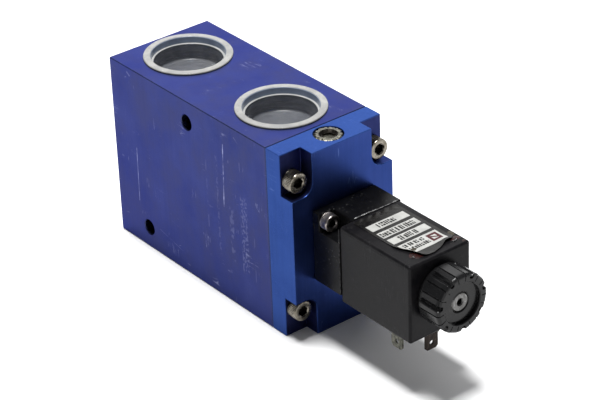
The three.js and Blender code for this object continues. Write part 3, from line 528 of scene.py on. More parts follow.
# long scratches: where each starts and ends on the near side, its width and its share of the scratch colour
GOUGES = tuple(
    (on_side(x0, z0), on_side(x1, z1), width, share) for x0, z0, x1, z1, width, share in (
        (75.6, 71.1, 75.1, 57.5, 0.44, 0.9), (75.1, 56.5, 74.5, 42.8, 0.52, 1), (15.4, 44.9, 14.8, 20, 0.26, 0.6),
        (83, 77.2, 85.6, 75.4, 0.5, 0.4), (12.4, 78.6, 13.8, 77.6, 0.6, 0.45), (28, 12, 44, 8.5, 0.14, 0.3),
    )
)
# blotches where the real block has rows of engraving: middle and half width, low and high end, length and strength
ETCHED = tuple(
    (on_side(x, 0)[0], half, low, high, size, strength) for x, half, low, high, size, strength in (
        (63.6, 0.25, 16, 64, 6, 0.12), (70.6, 0.6, 19, 66, 1.6, 0.09), (79.2, 1.3, 20, 44, 2.6, 0.11),
        (87.4, 2.1, 18, 52, 1.5, 0.16), (93.5, 0.2, 16, 40, 8, 0.12),
    )
)
# indigo block: its edges are tinted dark, which stands for the dark joint against the cover and, on its other edges,
# painted edge shade; low_shade paints shade that darkens its lower part
ANODISED = finish_of(
    "anodised_indigo", (0.034, 0.043, 0.112), (0.047, 0.058, 0.142), (0.32, 0.44), 22, (0.5, 0.006),
    (0.008, (0.3, 0.32, 0.46)), metal=1, wear=(0.32, (0.012, 0.015, 0.045)), worn=(0.2, 0.42), speckle=0.2,
    gouges=GOUGES, brushed=(0.85, 0.1), etched=ETCHED, low_shade=0.22, edge=(0.45, 0.45, 1),
)
# blue cover: its edges are tinted a lighter blue as a painted edge highlight
BLUE = dict(
    metal=1, patch=18, grain=(0.4, 0.004), scratch=(0.01, (0.09, 0.14, 0.34)), wear=(0.3, (0.08, 0.14, 0.36)),
    worn=(0.55, 0.7), brushed=(0.15, 0.25), edge=(0.58, 0.68, 1),
)
COVER = finish_of("anodised_blue", (0.019, 0.042, 0.168), (0.025, 0.054, 0.2), (0.25, 0.34), **BLUE)
# painted shade: the faces inside the cover's milled corner pockets take darker, greyer blues, as the shade in those
# recesses
COVER_POCKET_SHADE = finish_of(
    "anodised_blue_pocket_shade", (0.017, 0.021, 0.075), (0.026, 0.031, 0.105), (0.34, 0.46), 6, (0.4, 0.006),
    (0.01, (0.05, 0.08, 0.2)), metal=1, wear=(0.2, (0.02, 0.03, 0.1)), worn=(0.5, 0.7), brushed=(0.15, 0.25),
    edge=(0.5, 0.6, 1),
)
# painted shade: the cover's front face takes a slightly darker blue than its sides, standing for the dark surroundings
# that it reflects
COVER_FACE_SHADE = finish_of("anodised_blue_face_shade", (0.019, 0.038, 0.157), (0.026, 0.048, 0.188), (0.33, 0.41), **BLUE)
PILOT = finish_of(
    "black_anodised", (0.0025, 0.0025, 0.003), (0.004, 0.004, 0.0045), (0.24, 0.36), 9, (0.5, 0.01),
    (0.04, grey(0.05)), wear=(0.3, grey(0.35)), worn=(0.6, 0.66), speckle=0.08, specular=0.25, ior=1.25,
)
# black mouldings of the coil: their edges are tinted a lighter grey as a painted edge highlight
BLACK_MOULDING = dict(
    dark=(0.0031, 0.003, 0.004), light=(0.0094, 0.0087, 0.0098), patch=7, grain=(0.35, 0.012),
    scratch=(0.05, grey(0.04)), wear=(0.5, grey(0.035)), speckle=0.14, ior=1.2,
)
COIL = finish_of("moulded_black", rough=(0.26, 0.48), specular=0.42, **BLACK_MOULDING)
COIL_LID = finish_of("moulded_black_top", rough=(0.3, 0.52), specular=0.24, **BLACK_MOULDING)
NUT = finish_of(
    "moulded_black_satin", (0.005, 0.005, 0.0055), (0.008, 0.008, 0.0085), (0.16, 0.28), 8, (0.3, 0.006),
    (0.05, grey(0.05)), wear=(0.3, grey(0.05)), specular=0.29, ior=1.4,
)
NICKEL = finish_of(
    "nickelled_steel", (0.105, 0.092, 0.07), (0.265, 0.243, 0.205), (0.18, 0.34), 2.6, (0.25, 0.008),
    (0.1, (0.6, 0.58, 0.52)), metal=1, wear=(0.2, (0.6, 0.58, 0.52)), worn=(0.5, 0.7),
)
SATIN_NICKEL = finish_of(
    "satin_steel", (0.15, 0.132, 0.125), (0.38, 0.345, 0.32), (0.26, 0.42), 2, (0.25, 0.01), (0.1, (0.6, 0.58, 0.55)),
    metal=1, wear=(0.25, (0.7, 0.67, 0.63)),
)
DULL_NICKEL = finish_of(
    "dull_nickel", (0.03, 0.029, 0.022), (0.19, 0.185, 0.155), (0.3, 0.5), 0.8, (0.3, 0.04), (0.08, (0.4, 0.38, 0.3)),
    metal=1, wear=(0.3, (0.46, 0.44, 0.33)), speckle=0.5,
)
# painted shade: the faces inside the hexagon sockets take a near-black colour, as the shade deep in each socket
SOCKET_SHADE = finish_of(
    "socket_painted_shade", (0.02, 0.018, 0.015), (0.07, 0.062, 0.055), (0.2, 0.4), 1.2, (0.2, 0.01),
    (0.05, (0.3, 0.28, 0.25)), metal=1,
)
STAINLESS = finish_of(
    "turned_stainless", grey(0.2), (0.3, 0.3, 0.31), (0.22, 0.36), 5, (0.3, 0.006), (0.04, grey(0.5)), metal=1,
    turned=(0.25, 4, 4),
)
MAGNET = finish_of(
    "turned_magnet_steel", (0.075, 0.074, 0.072), (0.15, 0.148, 0.145), (0.3, 0.44), 2.5, (0.4, 0.008),
    (0.08, grey(0.4)), metal=1, wear=(0.2, grey(0.4)), turned=(0.25, 4, 4),
)
ALUMINIUM = finish_of(
    "turned_aluminium", (0.36, 0.37, 0.385), (0.46, 0.47, 0.485), (0.28, 0.42), 7, (0.35, 0.008),
    (0.05, (0.6, 0.6, 0.62)), metal=1, turned=(0.2, 5, 5),
)
BRASS = finish_of(
    "turned_brass", (0.38, 0.25, 0.08), (0.5, 0.35, 0.13), (0.24, 0.4), 4, (0.3, 0.008), (0.05, (0.65, 0.5, 0.25)),
    metal=1, turned=(0.25, 4, 4),
)
TINNED = finish_of(
    "dull_tinned_brass", (0.012, 0.012, 0.007), (0.135, 0.135, 0.11), (0.3, 0.5), 1.3, (0.3, 0.03),
    (0.1, (0.4, 0.4, 0.33)), metal=0.9, wear=(0.25, (0.03, 0.03, 0.022)),
)
OXIDISED = finish_of(
    "oxidised_brass", (0.005, 0.0035, 0.003), (0.017, 0.0115, 0.009), (0.3, 0.5), 1.6, (0.3, 0.012),
    (0.08, (0.1, 0.07, 0.05)), metal=0.9, wear=(0.2, (0.05, 0.04, 0.032)),
)
COPPER = finish_of(
    "enamelled_copper", (0.3, 0.1, 0.045), (0.42, 0.16, 0.07), (0.24, 0.36), 4, (0.35, 0.06),
    (0.02, (0.5, 0.25, 0.15)), metal=0.85, turned=(0.6, 9, 9),
)
RUBBER = finish_of(
    "moulded_rubber", (0.008, 0.008, 0.009), (0.014, 0.014, 0.015), (0.55, 0.75), 5, (0.3, 0.02), (0.02, grey(0.04)),
    wear=(0, grey(0.05)), speckle=0.12, specular=0.3,
)
BOBBIN = finish_of(
    "natural_moulding", (0.34, 0.31, 0.24), (0.42, 0.39, 0.31), (0.4, 0.55), 6, (0.4, 0.01),
    (0.03, (0.5, 0.46, 0.38)),
)
FILM = finish_of(
    "dark_label_film", (0.005, 0.0047, 0.0043), (0.01, 0.0094, 0.0085), (0.22, 0.36), 7, (1.4, 0.02),
    (0.06, (0.05, 0.045, 0.04)), specular=0.5, ior=1.2,
)
STRIP = finish_of(
    "label_white", (0.33, 0.33, 0.315), (0.44, 0.44, 0.42), (0.4, 0.5), 4, (0.6, 0.006), (0.05, (0.2, 0.2, 0.19)),
    specular=0.2,
)
PRINT = finish_of(
    "label_print", grey(0.004), (0.012, 0.012, 0.011), (0.4, 0.5), 0.9, (0.4, 0.004), (0.03, (0.2, 0.2, 0.19)),
    ior=1.2,
)
RED_PRINT = finish_of(
    "label_print_red", (0.04, 0.004, 0.006), (0.065, 0.009, 0.012), (0.4, 0.5), 1.5, (0.4, 0.004),
    (0.03, (0.2, 0.1, 0.1)), ior=1.2,
)
RESIDUE = finish_of(
    "label_glue", (0.006, 0.002, 0.002), (0.034, 0.006, 0.005), (0.2, 0.4), 1.2, (0.4, 0.06),
    (0.02, (0.06, 0.02, 0.02)), ior=1.25,
)
SMEAR = finish_of(
    "label_smear", (0.016, 0.013, 0.007), (0.05, 0.042, 0.024), (0.3, 0.5), 0.8, (0.3, 0.03),
    (0.03, (0.1, 0.09, 0.07)), ior=1.25,
)
BEAD = finish_of("dry_sealant", grey(0.02), grey(0.2), (0.2, 0.35), 1.1, (0.4, 0.03), (0.03, grey(0.2)))


def translucent(name, dark, light, clear, dirt=0):
    """Soft milky polyethylene: light goes through it and scatters on a finely grained face."""
    f = Finish(name)
    clouds = f.noise(5, 3)
    fine = f.noise(0.5, 2, offset=3)
    marks = f.scratches(1.6, (6, 0.8, 1), 0.04, 2)
    colour = f.mix(f.span(clouds, 0.35, 0.65), dark, light)
    colour = f.mix(f.times(marks, 0.3), colour, grey(0.8))
    if dirt:
        specks = f.span(f.noise(0.8, 2, offset=8), 0.64, 0.72, 0, dirt)
        colour = f.mix(specks, colour, (0.06, 0.045, 0.025))
    f.set(colour=colour, rough=f.span(fine, 0.35, 0.65, 0.16, 0.26), clear=clear, ior=1.35)
    f.bump(f.math("ADD", fine, f.times(clouds, 1.5)), 0.2, 0.02)
    return f.material


CAP_CUP = translucent("clear_polyethylene", (0.54, 0.56, 0.62), (0.76, 0.78, 0.83), 0.86)
CAP_RIM = translucent("frosted_polyethylene", (0.225, 0.225, 0.222), (0.32, 0.318, 0.302), 0.05, 0.6)
# painted light: the thin wall above the step is tinted blue, standing for the blue block seen through the plastic
CAP_WALL_BLOCK_SHOW_THROUGH = translucent("thin_polyethylene_blue_show_through", (0.25, 0.3, 0.41), (0.31, 0.37, 0.49), 0.15)
# painted highlight: the step's ledge takes a lighter grey than the flange, as the light that it catches
CAP_STEP_HIGHLIGHT = translucent("moulded_step_highlight", (0.36, 0.37, 0.36), (0.46, 0.46, 0.45), 0.1, 0.4)

# ---- valve block

G1 = {"minor": 15.15, "depth": 1.479, "pitch": 2.309}  # radius inside the thread, its depth and its pitch
PORT_DEPTH, MOUTH_RADIUS, MOUTH_DEPTH = 20, 16.8, 3.4
LEFT_PORT, RIGHT_PORT, BOTTOM_PORT = 20.5, 81.4, 51
CORNERS = [(side, level) for side in (-1, 1) for level in (-1, 1)]
SCREWS = [(side * 20, AXIS + level * 28.65) for side, level in CORNERS]


def port(x, passage, top):
    """The cutting shapes of one port: mouth, tapped length and the passage to the bore."""
    face, inward = (HEIGHT, -1) if top else (0, 1)
    at = lambda depth: face + inward * depth
    mouth = lathe([
        (0, at(-1)), (MOUTH_RADIUS + 1.4, at(-1)), (MOUTH_RADIUS + 0.4, at(0)), (MOUTH_RADIUS, at(0.4)),
        (MOUTH_RADIUS, at(MOUTH_DEPTH)), (G1["minor"], at(MOUTH_DEPTH + 1.4)), (0, at(MOUTH_DEPTH + 1.4)),
    ], "Z", (x, 0))
    start, end = sorted((at(MOUTH_DEPTH + 0.5), at(PORT_DEPTH)))
    tapped = threaded(start=start, end=end, centre=(x, 0), **G1)
    passed = rod(passage, *sorted((at(PORT_DEPTH - 1), AXIS)), axis="Z", centre=(x, 0))
    return [mouth, tapped, passed]


def block():
    bore = lathe([
        (0, 4), (9.7, 4), (9.7, 8), (11.5, 8), (11.5, 41.46), (12.3, 41.46), (12.3, 41), (17.5, 41),
        (17.5, 61), (18.5, 61), (18.5, 67.1), (19.6, 67.1), (19.6, 68.7), (18.5, 68.7), (18.5, 97),
        (19.5, 97), (19.5, LENGTH - 0.6), (20.6, LENGTH + 0.5), (20.6, LENGTH + 1), (0, LENGTH + 1),
    ])
    tools = [bore, *port(LEFT_PORT, 11.5, True), *port(RIGHT_PORT, 11.5, True), *port(BOTTOM_PORT, 9.5, False)]
    tools += [
        drill(3.3, -HALF_WIDTH, HALF_WIDTH, 0.3, axis="Y", centre=centre, segments=48)
        for centre in ((52, 71.4), (20.7, 9.5))
    ]
    tools += [hole(2.6, LENGTH - 14, LENGTH + 1, centre) for centre in SCREWS]
    blank = box((0, LENGTH), (-HALF_WIDTH, HALF_WIDTH), (0, HEIGHT), ease=0.5, segments=3)
    return combine(blank, tools)


piece("block", block(), ANODISED, "valve", ["body_block"])

# ---- end cover

COVER_BACK, COVER_FRONT, FLANGE_FRONT = 103.1, 118.5, 111.6
POCKET_Y, POCKET_Z = HALF_WIDTH - 10.25, HEIGHT / 2 - 17.5  # how far from the middle the corner pockets start
PLUG_X, PLUG_RADIUS, PLUG_FLOOR = 110.4, 5.8, HEIGHT - 8
SLACK = 0.05
SUPPLY, SIGNAL = 52, 30  # heights of the two pilot passages through the joint of cover and pilot block
PILOT_MIDDLE = 40.9
PILOT_SCREWS = [(11.9, PILOT_MIDDLE - 11.8), (-11.9, PILOT_MIDDLE + 11.8)]


def corner_pocket(side, level):
    """A milled corner: open outward, with a round inner corner about the screw that it clears."""
    radius, steps = 5.2, 12
    reach_y, reach_z = HALF_WIDTH + 1, HEIGHT / 2 + 1
    quarter = circle(radius, steps * 4, pi, (POCKET_Y + radius, POCKET_Z + radius))[:steps + 1]
    outline = [(reach_y, reach_z), (POCKET_Y, reach_z), *quarter, (reach_y, POCKET_Z)]
    return prism([(side * y, AXIS + level * z) for y, z in outline], FLANGE_FRONT, COVER_FRONT + 1)


def cover():
    plate = box((COVER_BACK, COVER_FRONT), (-HALF_WIDTH, HALF_WIDTH), (0, HEIGHT))
    plate = combine(plate, [corner_pocket(side, level) for side, level in CORNERS])
    plate = softened(plate, 0.35)
    spigot = rod(19.4, 99.95, COVER_BACK + 1)
    plate = combine(plate, [tube(20.5, 22.7, COVER_BACK - 1, COVER_BACK + 1.4)])
    plate = combine(plate, [spigot], "UNION")
    plug_at = {"axis": "Z", "centre": (PLUG_X, 0)}
    wide = PLUG_RADIUS + 0.1
    mouth = lathe([
        (0, HEIGHT - 1), (wide, HEIGHT - 1), (wide, HEIGHT - 0.25), (wide + 0.25, HEIGHT), (wide + 1.25, HEIGHT + 1),
        (0, HEIGHT + 1),
    ], **plug_at)
    tools = [
        rod(18, 98, 113), mouth, rod(wide, PLUG_FLOOR - 0.5, HEIGHT - 0.9, **plug_at),
        hole(1.2, 50, PLUG_FLOOR, (115, 0), "Z"), hole(1.2, 114, COVER_FRONT + 1, (0, SUPPLY)),
        hole(1.5, 112, COVER_FRONT + 1, (0, SIGNAL)),
    ]
    tools += [hole(2.75, COVER_BACK - 4, FLANGE_FRONT + 1, centre, segments=32) for centre in SCREWS]
    tools += [hole(2.1, COVER_FRONT - 4.5, COVER_FRONT + 1, centre) for centre in PILOT_SCREWS]
    return combine(plate, tools)


def cover_part(middle):
    """Which look each place on the cover takes: its sides, a milled pocket, painted darker as shade in the recess, or
    the front face, painted a little darker than the sides as shade.
    """
    side, pocket, front = range(3)
    if middle.x > COVER_FRONT - SLACK:
        return front
    across, up = abs(middle.y), abs(middle.z - AXIS)
    inside = across > POCKET_Y - SLACK and up > POCKET_Z - SLACK
    within = across < HALF_WIDTH - 0.4 and up < HEIGHT / 2 - 0.4
    return pocket if inside and within and FLANGE_FRONT - SLACK < middle.x < COVER_FRONT - 0.4 else side


piece("cover", cover(), [COVER, COVER_POCKET_SHADE, COVER_FACE_SHADE], "valve", ["end_cover"], cover_part)


def cover_plug():
    """A threaded plug with a hexagon socket, set flush, its thread crests cut into the rim."""
    radius, top, bottom, pitch, centre = PLUG_RADIUS, HEIGHT - 0.05, PLUG_FLOOR, 1, (PLUG_X, 0)

    def crests(r, station, angle):
        if r < radius - 0.95:
            return r
        phase = (station - bottom) / pitch - angle / tau
        chipped = 0.6 + wobble(cos(angle) * 4, sin(angle) * 4, 0.5)
        notch = 1.1 * max(0, cos(angle * 17 + 2 * sin(angle * 3))) * chipped if station > top - 0.7 else 0
        return r - 0.28 * (0.5 + 0.5 * cos(phase * tau)) - notch

    rows = 44
    side = [(radius, bottom + 0.4 + (top - 0.9 - bottom) * row / rows) for row in range(rows + 1)]
    blank = lathe([
        (0, bottom), (radius - 0.55, bottom), *side, (radius - 0.1, top - 0.42), (radius - 0.35, top - 0.12),
        (radius - 0.55, top - 0.02), (radius - 0.8, top), (radius - 1.5, top - 0.05), (0, top - 0.05),
    ], "Z", centre, segments=132, warp=crests)
    socket = prism(hexagon(5, centre, radians(12)), top - 1.9, top + 1, "Z")
    lead = [(0, top - 1.1), (2.7, top - 1.1), (3.9, top + 0.02), (3.9, top + 1), (0, top + 1)]
    drilled = [(0, top - 2.5), (1.6, top - 1.85), (0, top - 1.85)]
    return combine(blank, [socket, lathe(lead, "Z", centre), lathe(drilled, "Z", centre)])


# the plug's socket above its floor, which takes the socket's painted shade
def in_plug_socket(middle):
    return HEIGHT - 1.85 < middle.z < HEIGHT - 0.15 and hypot(middle.x - PLUG_X, middle.y) < 3.9


piece("plug", cover_plug(), [DULL_NICKEL, SOCKET_SHADE], "valve", ["cover_plug"], in_plug_socket)

M5 = {"radius": 4.25, "tall": 5, "shank": 2.5, "long": 20, "across": 4}
M4 = {"radius": 3.5, "tall": 4, "shank": 2, "long": 8, "across": 3}


def cap_screw(radius, tall, shank, long, across, turn):
    """A socket-head cap screw along X with the underside of its head at zero: straight knurl and chamfered rim."""
    knurls, depth, rim = round(radius * 11), 0.11, 0.45
    floor, corner = tall * 0.5, across / sqrt(3)

    def knurl(r, station, angle):
        if r < radius - 0.05 or not 0.4 < station < tall - 0.75:
            return r
        return r - depth * abs(sin(angle * knurls / 2))

    blank = lathe([
        (0, -long), (shank - 0.4, -long), (shank, 0.4 - long), (shank, -0.001), (radius - 0.3, 0), (radius, 0.3),
        (radius, 0.35), (radius, 0.5), (radius, tall - 0.85), (radius, tall - 0.7), (radius, tall - rim),
        (radius - 0.13, tall - 0.14), (radius - rim, tall), (0, tall),
    ], centre=(0, 0), segments=knurls * 4, warp=knurl)
    socket = prism(hexagon(across, turn=turn), floor, tall + 1)
    lead = [
        (0, tall - 0.35), (across / 2, tall - 0.35), (corner + 0.25, tall + 0.02), (corner + 0.25, tall + 1),
        (0, tall + 1),
    ]
    drilled = [(0, floor - 0.6), (across / 2 - 0.1, floor + 0.1), (0, floor + 0.1)]
    return combine(blank, [socket, lathe(lead, centre=(0, 0)), lathe(drilled, centre=(0, 0))])


def set_screw(name, node, look, size, seat, centre, turn):
    """A cap screw whose head's underside lies at the seat, its socket painted dark as shade."""
    y, z = centre

    def in_socket(middle):
        inside = hypot(middle.y - y, middle.z - z) < size["across"] / sqrt(3) + 0.02
        return inside and seat + 0.5 < middle.x < seat + size["tall"] - 0.25

    shape = moved(cap_screw(**size, turn=turn), seat, y, z)
    piece(name, shape, [look, SOCKET_SHADE], "valve", [node], in_socket)


for index, (centre, turn) in enumerate(zip(sorted(SCREWS), (0.3, 0.1, 0.7, 0.45)), 1):
    set_screw(f"m5_screw_{index}", f"cover_screw_{index}", NICKEL, M5, FLANGE_FRONT + 0.05, centre, turn)

# ---- pilot block

PILOT_BACK, PILOT_FRONT, PILOT_SEAT = 118.6, 134.5, 122.5
PILOT_HALF, PILOT_LOW, PILOT_TOP = 15.5, 25.5, 56.3


def pilot_block():
    half, low, high = PILOT_HALF, PILOT_LOW, PILOT_TOP
    blank = box((PILOT_BACK, PILOT_FRONT), (-half, half), (low, high))
    reach, cut = 7.3, (PILOT_SEAT, PILOT_FRONT + 1)
    corners = [
        box(cut, (-half - 1, reach - half), (high - reach, high + 1)),
        box(cut, (half - reach, half + 1), (low - 1, low + reach)),
    ]
    blank = softened(combine(blank, corners), 0.55, 3)
    bore = lathe([
        (0, 119.9), (2.95, 119.9), (2.95, 123.5), (6.3, 123.5), (6.3, 125.4), (8.9, 125.4), (8.9, 127),
        (9.9, 127), (9.9, PILOT_FRONT + 1), (0, PILOT_FRONT + 1),
    ])
    tools = [bore, *(hole(3, PILOT_BACK - 1, PILOT_BACK + 1.1, (0, height)) for height in (SUPPLY, SIGNAL))]
    for height, bend, meets in ((SUPPLY, 121.2, AXIS), (SIGNAL, 124.5, 36.2)):
        tools.append(hole(1.2, PILOT_BACK - 1, bend, (0, height)))
        tools.append(hole(1.2, *sorted((height, meets)), (bend, 0), "Z"))
    tools += [hole(2.2, PILOT_BACK - 1, 123.5, centre) for centre in PILOT_SCREWS]
    return combine(blank, tools)


piece("pilot", pilot_block(), PILOT, "valve", ["pilot_block"])
for index, (centre, turn) in enumerate(zip(PILOT_SCREWS, (0.2, 0.5)), 1):
    set_screw(f"m4_screw_{index}", f"pilot_screw_{index}", SATIN_NICKEL, M4, PILOT_SEAT + 0.05, centre, turn)


def ragged_thread(start, end, thick, x, seed, drops=()):
    """A ragged thread of sealant across the pilot block's top, with a few thicker drops."""
    steps = round((end - start) * 5)
    rows = []
    for step in range(steps + 1):
        y = start + (end - start) * step / steps
        wave = wobble(y * 0.6, 3.1, seed)
        flutter = wobble(y * 2.3, 1.7, seed + 5)
        swell = sum(size * exp(-((y - middle) / 0.45) ** 2) for middle, size in drops)
        fade = min(1, 0.2 + step / 4, 0.2 + (steps - step) / 4)
        radius = max(0.04, (thick * (1 + 0.7 * wave + 0.5 * flutter) + swell) * fade)
        middle_x, floor = x + 0.22 * wave + 0.1 * flutter, PILOT_TOP - 0.1
        rows.append([(middle_x + a, y, floor + 0.5 * (radius + b)) for a, b in circle(radius, 12)])
    return skinned(rows, (0, -1))


seam = merged(
    ragged_thread(-7.6, 1.2, 0.3, 133.7, 0.4),
    ragged_thread(1, 9, 0.17, 134, 2.1, ((1.8, 0.3), (2.9, 0.2))),
    ragged_thread(6, 15, 0.16, 134, 4.7, ((12.5, 0.22),)),
)
piece("seam_bead", seam, BEAD, "valve")


def side_seam(*strands):
    """Threads of sealant (low, high, thickness, seed and drops) down the pilot block's near side."""
    shape = merged(*[ragged_thread(low, high, thick, 134.15, *rest) for low, high, thick, *rest in strands])
    laid_down = Matrix.Rotation(pi / 2, 4, "X") @ Matrix.Translation((0, 0, -PILOT_TOP))
    shape.transform(Matrix.Translation((0, 0.12 - PILOT_HALF, 0)) @ laid_down)
    return shape


dark_seam = side_seam(
    (26.4, 33, 0.2, 1.3, ((28, 0.15),)), (32.6, 45, 0.16, 3.9, ((36, 0.2), (42, 0.15))),
    (44.6, 55.2, 0.2, 6.1, ((50, 0.2),)),
)
piece("side_seam", dark_seam, RUBBER, "valve")
chips = side_seam((49, 49.7, 0.4, 8), (40.8, 41.4, 0.38, 2), (51.6, 52.1, 0.2, 5), (30.3, 30.7, 0.16, 7))
piece("side_chips", chips, BEAD, "valve")

# ---- coil

COIL_BACK, COIL_FRONT, COIL_HALF, COIL_BOTTOM, COIL_TOP = 134.6, 174.4, 15, 22.5, 56.2
CONNECTOR_X, GROUND_X = 160, 169


def coil_housing():
    """The moulded housing, drawn 3 mm too long and cut square behind, so that only its far edges are well rounded."""
    half, below = COIL_HALF, COIL_BOTTOM - 1
    blank = box((COIL_BACK - 3, COIL_FRONT), (-half, half), (COIL_BOTTOM, COIL_TOP), ease=1.1, segments=5)
    behind = box((COIL_BACK - 4, COIL_BACK), (-half - 1, half + 1), (below, COIL_TOP + 1))
    blank = softened(combine(blank, [behind]), 0.4, 3)
    bore = lathe([
        (0, COIL_BACK - 1), (13.2, COIL_BACK - 1), (13.2, 171.4), (7.2, 171.4), (7.2, COIL_FRONT - 0.3),
        (7.6, COIL_FRONT + 0.1), (7.6, COIL_FRONT + 1), (0, COIL_FRONT + 1),
    ])
    tools = [
        bore,
        hole(2.7, below, 26.7, (CONNECTOR_X, 0), "Z", 32),
        box((GROUND_X - 0.5, GROUND_X + 0.5), (-3.25, 3.25), (below, 26.5)),
    ]
    for y in (-9, 9):
        tools.append(box((CONNECTOR_X - 3.25, CONNECTOR_X + 3.25), (y - 0.5, y + 0.5), (below, 28.5)))
    # a moulding mark near the back and a parting line under each top edge
    tools.append(lathe([(0, 55.9), (0.7, 55.95), (0.9, 56.3), (0, 56.3)], "Z", (137.4, -12.6), segments=32))
    for side in (-1, 1):
        line = [(side * 14.88, 54.62), (side * 15.2, 54.62), (side * 15.2, 54.78), (side * 14.88, 54.78)]
        tools.append(prism(line, COIL_BACK + 0.8, COIL_FRONT - 0.8))
    return combine(blank, tools)


def on_coil_top(middle):
    return middle.z > COIL_TOP - 0.02


piece("coil_body", coil_housing(), [COIL, COIL_LID], "coil", ["coil_housing"], on_coil_top)

LABEL_FLOOR = COIL_TOP + 0.02
FILM_SIDES = (-9.8, 11.8)
FILM_FRONT = (
    (-9.8, 159.6), (-9.3, 161.6), (-7.2, 166.4), (-5.9, 171.2), (-4.8, 172.1), (-1, 172.3), (3, 171.3),
    (7, 169.5), (10.2, 169.3), (11.8, 168.4),
)


def film_front(y):
    """Where the film's torn front edge runs."""
    for (y0, x0), (y1, x1) in zip(FILM_FRONT, FILM_FRONT[1:]):
        if y <= y1:
            return x0 + (x1 - x0) * (y - y0) / (y1 - y0)
    return FILM_FRONT[-1][1]


def film_height(x, y):
    """How far the label film stands off the coil: wrinkles at the back, a torn front edge that has come unstuck."""
    wrinkle = 0.26 * max(0, 1 - (x - 136) / 3.4) * (0.5 + 0.5 * sin(y * 1.5 + 1.4 * sin(x * 1.7)))
    ripple = 0.05 * (0.5 + wobble(x * 0.22, y * 0.3, 0.3))
    bump = lambda middle, width: exp(-((y - middle) / width) ** 2)
    amount = 0.35 + 0.75 * bump(8.2, 2.8) + 0.6 * bump(-6.4, 2)
    lifted = amount * max(0, 1 - (film_front(y) - x) / 5.5) ** 2
    return wrinkle + ripple + lifted


def film_top(x, y):
    """The height of the film's upper face over the base."""
    return LABEL_FLOOR + 0.14 + film_height(x, y)


def film_point(u, v):
    y = FILM_SIDES[0] + (FILM_SIDES[1] - FILM_SIDES[0]) * v
    back = 136.1 + 0.6 * wobble(y * 0.4, 2, 0)
    x = back + (film_front(y) - back) * u
    return x, y, film_top(x, y)


piece("label_film", sheet_body(84, 60, film_point, 0.12), FILM, "coil", ["coil_label"])

STRIPS = [(141.6, 146.1), (148.1, 152.4), (154, 158.2), (160, 167.7)]
STRIP_Y = (-8.5, 10)


def on_film(x0, x1, y0, y1, lift=0.05, thickness=0.02, skew=0):
    """A thin printed patch that follows the film."""
    def point(u, v):
        y = y0 + (y1 - y0) * v
        x = x0 + (min(x1, film_front(y) - 0.35) - x0) * u + skew * (v - 0.5)
        return x, y, film_top(x, y) + lift
    columns, rows = (max(2, round(length / 0.8)) for length in (x1 - x0, y1 - y0))
    return sheet_body(columns, rows, point, thickness)


strips = merged(*[on_film(x0, x1, *STRIP_Y, 0.03, 0.05) for x0, x1 in STRIPS])
piece("label_strips", strips, STRIP, "coil")

# the strip that each row of marks is on, its place across the strip, its half height, and where it starts and ends
PRINT_ROWS = (
    (0, 0.5, 1.45, -4.4, 4.2), (1, 0.5, 1.5, -8, 8.6), (2, 0.5, 1.45, -4.2, 5), (3, 0.24, 1.05, -7, 2.8),
    (3, 0.62, 1.05, -6.4, 3.4),
)


def label_marks():
    """Rows of plain upright bars, some of them broken in the middle, in place of print."""
    draw = random.Random(4)
    bars = []
    for strip, place, tall, y, end in PRINT_ROWS:
        x0, x1 = STRIPS[strip]
        middle = x0 + (x1 - x0) * place
        while y < end - 0.4:
            width = draw.uniform(0.5, 1)
            low = middle - tall * draw.choice((1, 1, 0.7))
            if draw.random() < 0.4:
                bars.append(on_film(low, middle - 0.2, y, y + width))
                low = middle + 0.2
            bars.append(on_film(low, middle + tall, y, y + width))
            y += width + draw.choice((0.25, 0.3, 0.35, 0.8))
    return merged(*bars)


piece("label_marks", label_marks(), PRINT, "coil")


def solenoid_symbol():
    """The standard drawing sign of a solenoid: a rectangle crossed by one slanting bar."""
    x0, x1, y0, y1, line, lift = 161.2, 166.2, 4.2, 9, 1.15, 0.06
    inside = (y0 + line + 0.01, y1 - line - 0.01)
    return merged(
        on_film(x0, x1, y0, y0 + line, lift), on_film(x0, x1, y1 - line, y1, lift),
        on_film(x0, x0 + line, *inside, lift), on_film(x1 - line, x1, *inside, lift),
        on_film(x0 + 2.05, x0 + 2.95, *inside, lift, skew=1.6),
    )


piece("label_symbol", solenoid_symbol(), RED_PRINT, "coil")


def glue(x, y, width, depth, seed, base=COIL_TOP, height=0.26):
    """A flattened blob of old adhesive."""
    segments, rings = 36, 8
    rows = []
    for ring in range(rings + 1):
        share = ring / rings
        row = []
        for a, b in circle(1, segments):
            ragged = 1 + 0.5 * wobble(a * 1.6 + seed, b * 1.6, seed)
            lump = 0.75 + 0.6 * wobble(a * share * 2, b * share * 2, seed + 3)
            top = base + (height * (1 - share * share) + 0.01) * lump
            row.append((x + depth * share * ragged * a, y + width * share * ragged * b, top))
        rows.append(row)
    rows.append([(*point[:2], base - 0.04) for point in rows[-1]])
    return skinned(rows, (-1,))


residue = merged(
    glue(168.6, -7.9, 1.8, 1.7, 1), glue(170.5, -6.4, 2.1, 1.1, 2.5, height=0.18),
    glue(169.6, 11.8, 1.9, 1.6, 4), glue(172.9, 13.2, 0.9, 0.6, 6, height=0.1),
)
piece("label_residue", residue, RESIDUE, "coil")
smears = merged(
    glue(165.6, -5.6, 1.5, 1.1, 7, film_top(165.6, -5.6) + 0.05, 0.1), glue(166, 12.9, 1.3, 1.6, 9, height=0.12),
)
piece("label_smears", smears, SMEAR, "coil")


